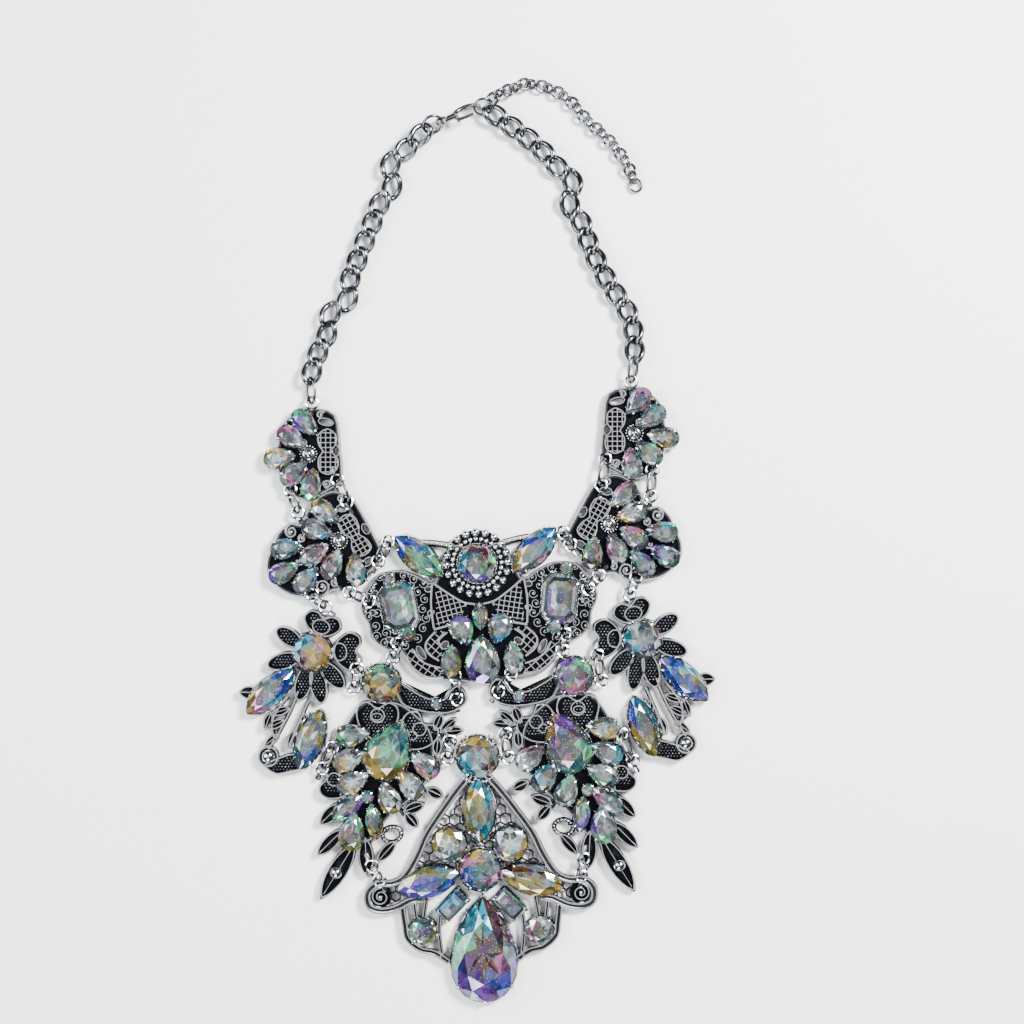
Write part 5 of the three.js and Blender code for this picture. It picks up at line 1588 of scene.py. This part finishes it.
@dataclass
class CentreDrop(Casting):
    """Bell-shaped drop that ends in the largest pear."""

    eyelets = {"top": (-8.6, 32.0, 0), "scroll": (-28.9, -2.5)}
    middle = True
    sides = {1: ("blue", "teal", "olive", "violet"), -1: ("olive", "gold", "clear", "brown")}
    rim = [(-2.2, 27.4), (-6.0, 23.0), (-9.8, 18.0), (-15.0, 10.6), (-18.0, 4.2), (-21.6, -1.4),
           (-25.4, -3.4), (-29.4, -3.4), (-32.4, -6.0), (-32.0, -9.8), (-28.8, -11.2),
           (-24.6, -10.6), (-20.4, -8.6), (-17.0, -8.2)]
    bell = [(0.0, 27.0), (-3.0, 25.6), (-9.2, 17.2), (-14.4, 9.4), (-17.4, 3.4), (-20.6, -1.6),
            (-14.0, -1.0), (0.0, 1.0)]
    shoulder = [(-21.6, -3.0), (-26.0, -4.6), (-27.0, -9.6), (-20.6, -8.0)]
    lower = [(-22.6, -10.4), (-22.0, -15.2), (-21.2, -19.4), (-17.6, -22.6), (-13.6, -23.6),
             (-9.6, -26.4)]
    bars = ([(-15.6, -8.4), (-16.4, -13.4)], [(-19.2, -9.0), (-18.6, -13.6)],
            [(-11.4, -10.4), (-12.2, -17.0), (-11.4, -25.0)], [(-12.2, -18.0), (-14.6, -20.6)])

    def draw(self) -> None:
        """Draws the bell, its stones and its scroll ends."""
        for hand in (1, -1):
            self.draw_side(hand)
        self.main("top_round", Kind.ROUND, 0, 32.3, 15, 12, 12, 6)
        self.main("top_marquise", Kind.MARQUISE, 0, 17.0, 90, 18, 9.5)
        self.main("centre_round", Kind.ROUND, 0, 0, 15, 12, 12, 8)
        self.main("centre_pear", Kind.PEAR, 0.5, -23.0, 90, 30, 19, 8)
        collar = [(-4.2, 26.4), (-2.2, 25.2), (0.0, 24.8), (2.2, 25.2), (4.2, 26.4)]
        self.bead_line(collar, 1.0, 2.9, 0.5)

    def draw_side(self, hand: int) -> None:
        """Draws one side: the left one for hand 1, the right one for hand -1."""
        self.small(Kind.ROUND, -8.7 * hand, 7.3, 0, 10.0, 10.0, 6)
        self.small(Kind.MARQUISE, -15.0 * hand, -3.2, 15 * hand, 18.0, 9.0, 4, self.sides[hand])
        self.small(Kind.ROUND, -16.8 * hand, -17.5, 0, 8.0, 8.0, 6)
        self.small(Kind.OCTAGON, -8.2 * hand, -10.0, 45 * hand, 9.0, 5.0)
        self.metal.ribbon(mirrored(self.rim, hand), 2.4, RIM, 0.5)
        self.honeycomb(mirrored(self.bell, hand), 1.75)
        self.honeycomb(mirrored(self.shoulder, hand), 1.5)
        self.metal.plate(turned(ellipse(3.2, 3.2, 24), -28.7 * hand, -7.3, 0), [], BACK, GROUND)
        self.metal.scroll(-28.7 * hand, -7.3, 2.6, 90, 1.6, WIRE - 0.05, 0.34, hand)
        self.metal.ribbon(mirrored(self.lower, hand), 1.9, WIRE, 0.36)
        for bar in self.bars:
            self.metal.ribbon(mirrored(bar, hand), 1.3, FIELD + 0.05, 0.28)


# Chains, jump rings and the clasp


@dataclass(frozen=True)
class Bench:
    """The finishes that the pieces share, and the necklace's move to the frame."""

    cast: bpy.types.Material
    chain: bpy.types.Material
    crystal: bpy.types.Material
    shift: Point2

    def silver(self, name: str, shape: tuple, turn: Matrix, middle: Point3,
               smooth_under: float = 60, body: str = "necklace") -> bpy.types.Object:
        """Adds a piece of plated silver.

        Args:
            name: Name of the piece.
            shape: Its points, in its own millimetres, and its faces.
            turn: How it is turned.
            middle: Where it lies, in the necklace's millimetres.
            smooth_under: Angle in degrees under which its faces are shaded smooth.
            body: Body that it rides on.

        Returns:
            The piece.
        """
        points, faces = shape
        move = Vector(middle) + Vector((*self.shift, 0))
        mesh = bpy.data.meshes.new(name)
        mesh.from_pydata([tuple((turn @ Vector(p) + move) * MM) for p in points], [], faces)
        return add_piece(name, mesh, self.chain, smooth_under, body)


def turn_of(yaw: float, roll: float) -> Matrix:
    """Turn about X by the roll, then about Z by the yaw, in degrees."""
    return Matrix.Rotation(math.radians(yaw), 3, "Z") @ Matrix.Rotation(math.radians(roll), 3, "X")


@dataclass
class JumpRings:
    """Oval rings that join the castings through their eyelets."""

    wire: float = 0.9
    half_wide: float = 1.9
    tilt: float = 50.0

    table = (
        ("ring_plate_inner", "upper_plate", "inner", "shoulder_plate", "inner"),
        ("ring_plate_outer", "upper_plate", "outer", "shoulder_plate", "outer"),
        ("ring_flower_top", "shoulder_plate", "flower", "flower_drop", "top"),
        ("ring_butterfly_top", "shoulder_plate", "corner", "butterfly_plate", "shoulder"),
        ("ring_butterfly_side", "shoulder_plate", "bottom", "butterfly_plate", "outer"),
        ("ring_cluster_outer", "flower_drop", "petal", "cluster_drop", "flower"),
        ("ring_cluster_inner", "butterfly_plate", "wing", "cluster_drop", "wing"),
        ("ring_cluster_arm", "butterfly_plate", "bottom", "cluster_drop", "arm"),
        ("ring_flower_foot", "flower_drop", "bottom", "cluster_drop", "heart"),
        ("ring_centre_top", "cluster_drop", "sprig", "centre_drop", "top"),
        ("ring_centre_side", "cluster_drop", "bottom", "centre_drop", "scroll"),
    )

    def thread(self, castings: dict) -> list:
        """Adds each casting's eyelets and lists the rings.

        Args:
            castings: Castings by node.

        Returns:
            Name, start, end and tilt of each ring, in the necklace's millimetres.
        """
        rings = []
        for hand in ("L", "R"):
            for name, from_name, eye_from, to_name, eye_to in self.table:
                first = castings.get(from_name) or castings[f"{from_name}_{hand}"]
                second = castings.get(to_name) or castings[f"{to_name}_{hand}"]
                start = first.to_world(*first.eye(eye_from, hand))
                end = second.to_world(*second.eye(eye_to, hand))
                first.add_eyelet(eye_from, hand, end)
                second.add_eyelet(eye_to, hand, start)
                tilt = self.tilt if hand == "L" else -self.tilt
                rings.append((f"{name}_{hand}", start, end, tilt))
        return rings

    def build(self, rings: list, bench: Bench) -> None:
        """Builds the rings that JumpRings.thread and Chains.build_neck list."""
        for name, start, end, tilt in rings:
            half_long = max(self.half_wide, math.dist(start, end) / 2)
            middle = ((start[0] + end[0]) / 2, (start[1] + end[1]) / 2, RIM)
            yaw = math.degrees(math.atan2(end[1] - start[1], end[0] - start[0]))
            shape = link_points(half_long, self.half_wide, self.wire, 0)
            piece = bench.silver(f"{name}_wire", shape, turn_of(yaw, tilt), middle)
            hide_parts(name)


@dataclass
class Chains:
    """Neck chains of twisted curb links, and the extender of finer links."""

    wire: float = 1.75
    half_long: float = 3.6
    half_wide: float = 2.3
    lift: float = 0.4
    twist: float = 42.0
    bite: float = 0.26
    clearance: float = 0.35
    fine_wire: float = 0.95
    fine_half_long: float = 1.75
    fine_half_wide: float = 1.5
    fine_twist: float = 25.0
    fine_roll: float = 58.0
    fine_pitch: float = 2.5
    fine_first: float = 1.2
    end_link: Point3 = (1.9, 1.7, 0.75)
    end_reach: float = 2.2
    end_high: float = 0.8
    kink_push: float = 1.5
    kink_reach: float = 5.0

    routes = {
        "left": [
            (-21.6, 111.5, 1.5), (-25.3, 105, 1.5), (-28.5, 97, 1.5), (-33.9, 83.5, 1.5),
            (-38, 72.9, 1.5), (-40.8, 66, 1.5), (-45.2, 56, 1.5), (-47.9, 50.5, 1.9),
            (-48.3, 45, 2.3), (-48.3, 40, 2.3)],
        "right": [
            (4.6, 121, 1.9), (13.3, 115, 1.5), (20.4, 108.4, 1.5), (25, 101.8, 1.5),
            (27.6, 94.4, 1.5), (31.8, 82.9, 1.5), (37, 72.9, 1.5), (42.2, 64.9, 1.5),
            (44.2, 56.9, 1.7), (43.5, 50, 2.3), (43.2, 45, 2.3)],
        "extender": [
            (4.6, 127, 2.8), (9, 128.9, 1.7), (13.3, 130.4, 1.45), (19.9, 129, 1.45),
            (25.6, 125.6, 1.45), (30.7, 119.8, 1.45), (35.6, 115.5, 1.45), (39.3, 111.3, 1.45),
            (42.2, 107, 1.45), (43.9, 102.7, 1.45)],
    }
    kinks = ((-25.3, 105.5), (-40.2, 66.9), (-47.6, 50.5), (25.6, 99.8))
    seeds = {"left": 7, "right": 11, "extender": 5}

    def kinked(self, middles: list) -> list:
        """Pushes links aside by turns where the chain is kinked, and lifts the chain."""
        result = []
        for i, middle in enumerate(middles):
            near = min(math.dist((middle.x, middle.y), kink) for kink in self.kinks)
            inner = 0 < i < len(middles) - 3
            push = self.kink_push * (1 if i % 2 else -1) if near < self.kink_reach and inner else 0
            along = (middles[min(i + 1, len(middles) - 1)] - middles[max(0, i - 1)]).normalized()
            result.append(middle + Vector((-along.y * push, along.x * push, self.lift)))
        return result

    @property
    def pitch(self) -> float:
        """Distance between the middles of two curb links."""
        return 2 * self.half_long - self.wire + self.bite

    @property
    def first(self) -> float:
        """Distance from the inside of a link's end to its middle."""
        return self.half_long - self.wire / 2 - self.clearance

    def centres(self, start: Point3, route: str, first: float, pitch: float) -> list:
        """Middles of links along a route: the first at a distance from the start, then by pitch."""
        result, last, step = [], Vector(start), first
        for point in smooth([tuple(start), *self.routes[route]], 90, False):
            here = Vector(point)
            if (here - last).length >= step:
                result.append(here)
                last, step = here, pitch
        return result

    def lay(self, name: str, node: str, link: tuple, middles: list, roll: float, bench: Bench,
            seed: int) -> None:
        """Lays a chain and makes it a piece.

        Args:
            name: Name of the piece.
            node: CAD node that it replaces.
            link: Points and faces of a link.
            middles: Middles of its links, in the necklace's millimetres.
            roll: Turn of every other link.
            bench: Finishes and move of the scene.
            seed: Seed of its play.
        """
        data = bpy.data.meshes.new(f"{name}_link")
        data.from_pydata([tuple(Vector(p) * MM) for p in link[0]], [], link[1])
        pattern = bpy.data.objects.new(data.name, data)
        line = [((m.x + bench.shift[0]) * MM, (m.y + bench.shift[1]) * MM, m.z * MM)
                for m in middles]
        mesh = chain_mesh(pattern, line, roll, bench.chain, seed)
        bpy.data.objects.remove(pattern)
        bpy.data.meshes.remove(data)
        piece = add_piece(name, mesh, bench.chain, 60)
        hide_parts(node)

    def build_neck(self, name: str, start: Point3, first: float, casting: Casting,
                   joint: JumpRings, bench: Bench) -> tuple:
        """Builds one neck chain.

        Args:
            name: "left" or "right".
            start: Point that it hangs from.
            first: Distance to its first link.
            casting: Plate at its end.
            joint: The kind of ring that joins it to its plate.
            bench: Finishes and move of the scene.

        Returns:
            The ring that joins it to its plate, as JumpRings.build takes it.
        """
        hand = casting.side.value
        eyelet = casting.to_world(*casting.eye("chain", casting.hand))
        reach = self.half_long + 2 * joint.half_wide
        middles = [m for m in self.centres(start, name, first, self.pitch)
                   if math.dist((m.x, m.y), eyelet) > reach and m.y > eyelet[1]]
        link = link_points(self.half_long, self.half_wide, self.wire, -self.twist * hand)
        self.lay(f"curb_chain_{name}", f"neck_chain_{name}", link, self.kinked(middles), 0.0,
                 bench, self.seeds[name])
        along = (middles[-1] - middles[-2]).normalized()
        end = middles[-1] + along * (self.first - joint.wire / 2)
        return (f"ring_chain_{casting.hand}", (end.x, end.y), eyelet, joint.tilt * hand)

    def build_extender(self, start: Point3, bench: Bench) -> None:
        """Builds the extender's fine chain and the larger link at its end."""
        middles = self.centres(start, "extender", self.fine_first, self.fine_pitch)
        link = link_points(self.fine_half_long, self.fine_half_wide, self.fine_wire,
                           self.fine_twist, 20, 8)
        lifted = [middle + Vector((0, 0, self.lift)) for middle in middles]
        self.lay("extender_links", "extender_chain", link, lifted, self.fine_roll, bench,
                 self.seeds["extender"])
        heading = (middles[-1] - middles[-3]).normalized()
        end = middles[-1] + heading * self.end_reach
        yaw = math.degrees(math.atan2(heading.y, heading.x))
        bench.silver("extender_end", link_points(*self.end_link, 0), turn_of(yaw, 0),
                     (end.x, end.y, self.end_high))


@dataclass
class Clasp:
    """Lobster clasp with a lever, the ring that it hangs on and the ring that it takes."""

    ring_place: Point3 = (-13.7, 118.6, 3.05)
    ring_radius: float = 2.8
    ring_wire: float = 0.95
    end_radius: float = 2.7
    end_wire: float = 0.8
    yaw: float = 20.7
    end_yaw: float = 12.0
    roll: float = -45.0
    long: float = 12.0
    hook_half_long: float = 4.4
    hook_half_wide: float = 3.0
    hook_wire: float = 1.35
    lever_wide: float = 1.25
    lever_long: float = 4.5
    lever_gap: float = 0.3
    eye_radius: float = 1.5
    eye_rod: float = 0.45
    hook_inset: float = 0.65
    hook_rod: float = 0.72
    shank_rod: float = 0.85
    pin_rod: float = 0.32
    pin_half: float = 0.85
    lever_rod: float = 0.58
    chain_angle: float = -34.0
    extender_angle: float = 20.0

    @property
    def eye(self) -> Vector:
        """Middle of the clasp's eye, in the necklace's millimetres."""
        return Vector(self.ring_place) + turn_of(self.yaw, 0) @ Vector((self.ring_radius, 0, 0))

    @property
    def end_centre(self) -> Vector:
        """Middle of the end ring, in the necklace's millimetres."""
        at = self.long - self.hook_wire - self.lever_gap - self.end_wire / 2
        return (self.eye + turn_of(self.yaw, 0) @ Vector((at, 0, 0))
                + turn_of(self.end_yaw, 0) @ Vector((self.end_radius, 0, 0)))

    def on_end_ring(self, degrees: float) -> Point3:
        """Point of the end ring's wire at an angle round it."""
        angle = math.radians(degrees)
        point = Vector((math.cos(angle), math.sin(angle), 0)) * self.end_radius
        return tuple(turn_of(self.end_yaw, -self.roll) @ point + self.end_centre)

    def build(self, bench: Bench) -> None:
        """Builds the clasp and its two rings, with the bench's finish."""
        rings = (("clasp_hanging_ring", "clasp_ring", self.ring_place, self.yaw,
                  self.ring_radius, self.ring_wire),
                 ("chain_end_ring", "end_ring", self.end_centre, self.end_yaw,
                  self.end_radius, self.end_wire))
        for name, node, middle, yaw, radius, wire in rings:
            shape = link_points(radius, radius, wire, 0, 36, 12)
            piece = bench.silver(name, shape, turn_of(yaw, -self.roll), middle)
            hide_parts(node)
        middle = self.long - self.hook_half_long
        body, lever = Shaper(), Shaper()
        body.loop(ellipse(self.eye_radius, self.eye_radius, 20), 0, self.eye_rod, 8)
        loop = turned(ellipse(self.hook_half_long - self.hook_inset,
                              self.hook_half_wide - self.hook_inset, 48), middle, 0, 0)
        hook = [(*loop[i % 48], 0) for i in range(-3, 30)]
        body.tube(hook, self.hook_rod, False, 10)
        shank = [(1.7, 0, 0), (2.6, 0, 0), (middle - 3.6, 0.2, 0)]
        body.tube(shank, self.shank_rod, False, 10, 1.15)
        x = middle - 0.7 * self.hook_half_long
        y = -(self.hook_half_wide - self.lever_wide / 2)
        pin = [(x, y, -self.pin_half), (x, y + 0.01, self.pin_half)]
        body.tube(pin, self.pin_rod, False, 10)
        lever.tube([(x - 0.5, y, 0), (x + 0.6, y, 0), (x + 2.6, y - 0.1, 0),
                    (x + self.lever_long, y + 0.1, 0)], self.lever_rod, False, 10, 0.75)
        for name, node, shaper, rides in (("clasp_hook", "clasp_body", body, "necklace"),
                                          ("clasp_latch", "clasp_lever", lever, "lever")):
            piece = bench.silver(name, (shaper.points, shaper.faces),
                                 turn_of(self.yaw, self.roll), self.eye, 50, rides)
            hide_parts(node)


# Scene


@dataclass(frozen=True)
class Studio:
    """Pale floor, soft lights and the camera straight above."""

    middle: Point2 = (0.00996, 0.00848)
    width: float = 0.2929
    lens: float = 70.0
    sensor: float = 36.0
    floor_half: float = 1.5
    floor_sink: float = -0.0002
    sky: tuple = (0.86, 0.9, 1.0, 1.0)
    sky_strength: float = 0.1

    # Name, place in metres, side in metres, power in watts and colour of each light
    lights = (
        ("key", (0.44, 0.32, 0.6), 0.22, 26.0, (1.0, 0.98, 0.95)),
        ("fill", (-0.5, 0.1, 0.5), 0.45, 8.0, (0.92, 0.96, 1.0)),
        ("foot", (-0.1, -0.6, 0.42), 0.3, 5.0, (1.0, 1.0, 1.0)),
        ("ceiling", (0.0, 0.0, 1.1), 0.8, 2.6, (1.0, 1.0, 1.0)),
    )

    def place(self, name: str, data: bpy.types.ID, where: Point3) -> bpy.types.Object:
        """Adds an object to the scene at a place."""
        item = bpy.data.objects.new(name, data)
        item.location = where
        bpy.context.scene.collection.objects.link(item)
        return item

    def build(self) -> None:
        """Builds the floor, the lights and the camera."""
        mesh = bpy.data.meshes.new("floor")
        corners = ((-1, -1), (1, -1), (1, 1), (-1, 1))
        mesh.from_pydata([(x * self.floor_half, y * self.floor_half, self.floor_sink)
                          for x, y in corners], [], [(0, 1, 2, 3)])
        mesh.materials.append(FloorFinish().build())
        self.place("floor", mesh, (0, 0, 0))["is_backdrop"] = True
        world = bpy.data.worlds.new("studio")
        world.use_nodes = True
        sky = world.node_tree.nodes["Background"].inputs
        sky["Color"].default_value = self.sky
        sky["Strength"].default_value = self.sky_strength
        bpy.context.scene.world = world
        for name, where, size, power, colour in self.lights:
            data = bpy.data.lights.new(name, "AREA")
            data.shape, data.size, data.energy, data.color = "SQUARE", size, power, colour
            light = self.place(name, data, where)
            light.rotation_euler = (-Vector(where)).to_track_quat("-Z", "Y").to_euler()
        data = bpy.data.cameras.new("camera")
        data.lens, data.sensor_width, data.clip_start = self.lens, self.sensor, 0.01
        height = self.width * self.lens / self.sensor + 0.003
        bpy.context.scene.camera = self.place("camera", data, (*self.middle, height))


def make_castings() -> dict:
    """Makes the castings where they lie, by node."""
    rows = [
        UpperPlate("upper_plate_L", -49.3, 24.3, 0, Side.LEFT, 21),
        UpperPlate("upper_plate_R", 44.1, 30.3, 0, Side.RIGHT, 22),
        ShoulderPlate("shoulder_plate_L", -40.5, -0.5, 0, Side.LEFT, 23),
        ShoulderPlate("shoulder_plate_R", 36.9, 4.3, 0, Side.RIGHT, 24),
        FlowerDrop("flower_drop_L", -48.2, -32.6, 0, Side.LEFT, 25),
        FlowerDrop("flower_drop_R", 46.3, -28.8, 0, Side.RIGHT, 26),
        ClusterDrop("cluster_drop_L", -28.3, -41.3, 0, Side.LEFT, 27),
        ClusterDrop("cluster_drop_R", 26.7, -39.2, 0, Side.RIGHT, 28),
        ButterflyPlate("butterfly_plate", -1.0, -7.0, 3.2, Side.LEFT, 29),
        CentreDrop("centre_drop", -0.1, -94.6, 1.3, Side.LEFT, 30),
    ]
    return {row.node: row for row in rows}


def main(bounds_before: tuple) -> None:
    """Builds the scene."""
    low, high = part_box("butterfly_round")
    castings = make_castings()
    plate = castings["butterfly_plate"]
    shift = ((low[0] + high[0]) / 2 / MM - plate.x, (low[1] + high[1]) / 2 / MM - plate.y)
    bench = Bench(CastSilver().build(), ChainSilver().build(), CrystalFinish().build(), shift)
    rings, clasp, chains = JumpRings(), Clasp(), Chains()
    threaded = rings.thread(castings)
    clasp.build(bench)
    plates = [castings["upper_plate_L"], castings["upper_plate_R"]]
    starts = ((clasp.ring_place, clasp.ring_radius - clasp.ring_wire / 2 + chains.first),
              (clasp.on_end_ring(clasp.chain_angle), chains.first - clasp.end_wire / 2))
    for name, casting, (start, first) in zip(("left", "right"), plates, starts):
        threaded.append(chains.build_neck(name, start, first, casting, rings, bench))
    for casting in plates:
        x, y = casting.eye("chain", casting.hand)
        above = casting.to_world(x, y + chains.half_long)
        casting.add_eyelet("chain", casting.hand, above)
    chains.build_extender(clasp.on_end_ring(clasp.extender_angle), bench)
    rings.build(threaded, bench)
    for casting in castings.values():
        casting.draw()
        casting.build(bench)
    Studio().build()


if __name__ == "__main__":
    logging.basicConfig(level=logging.INFO, format="%(message)s")
    main(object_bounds())
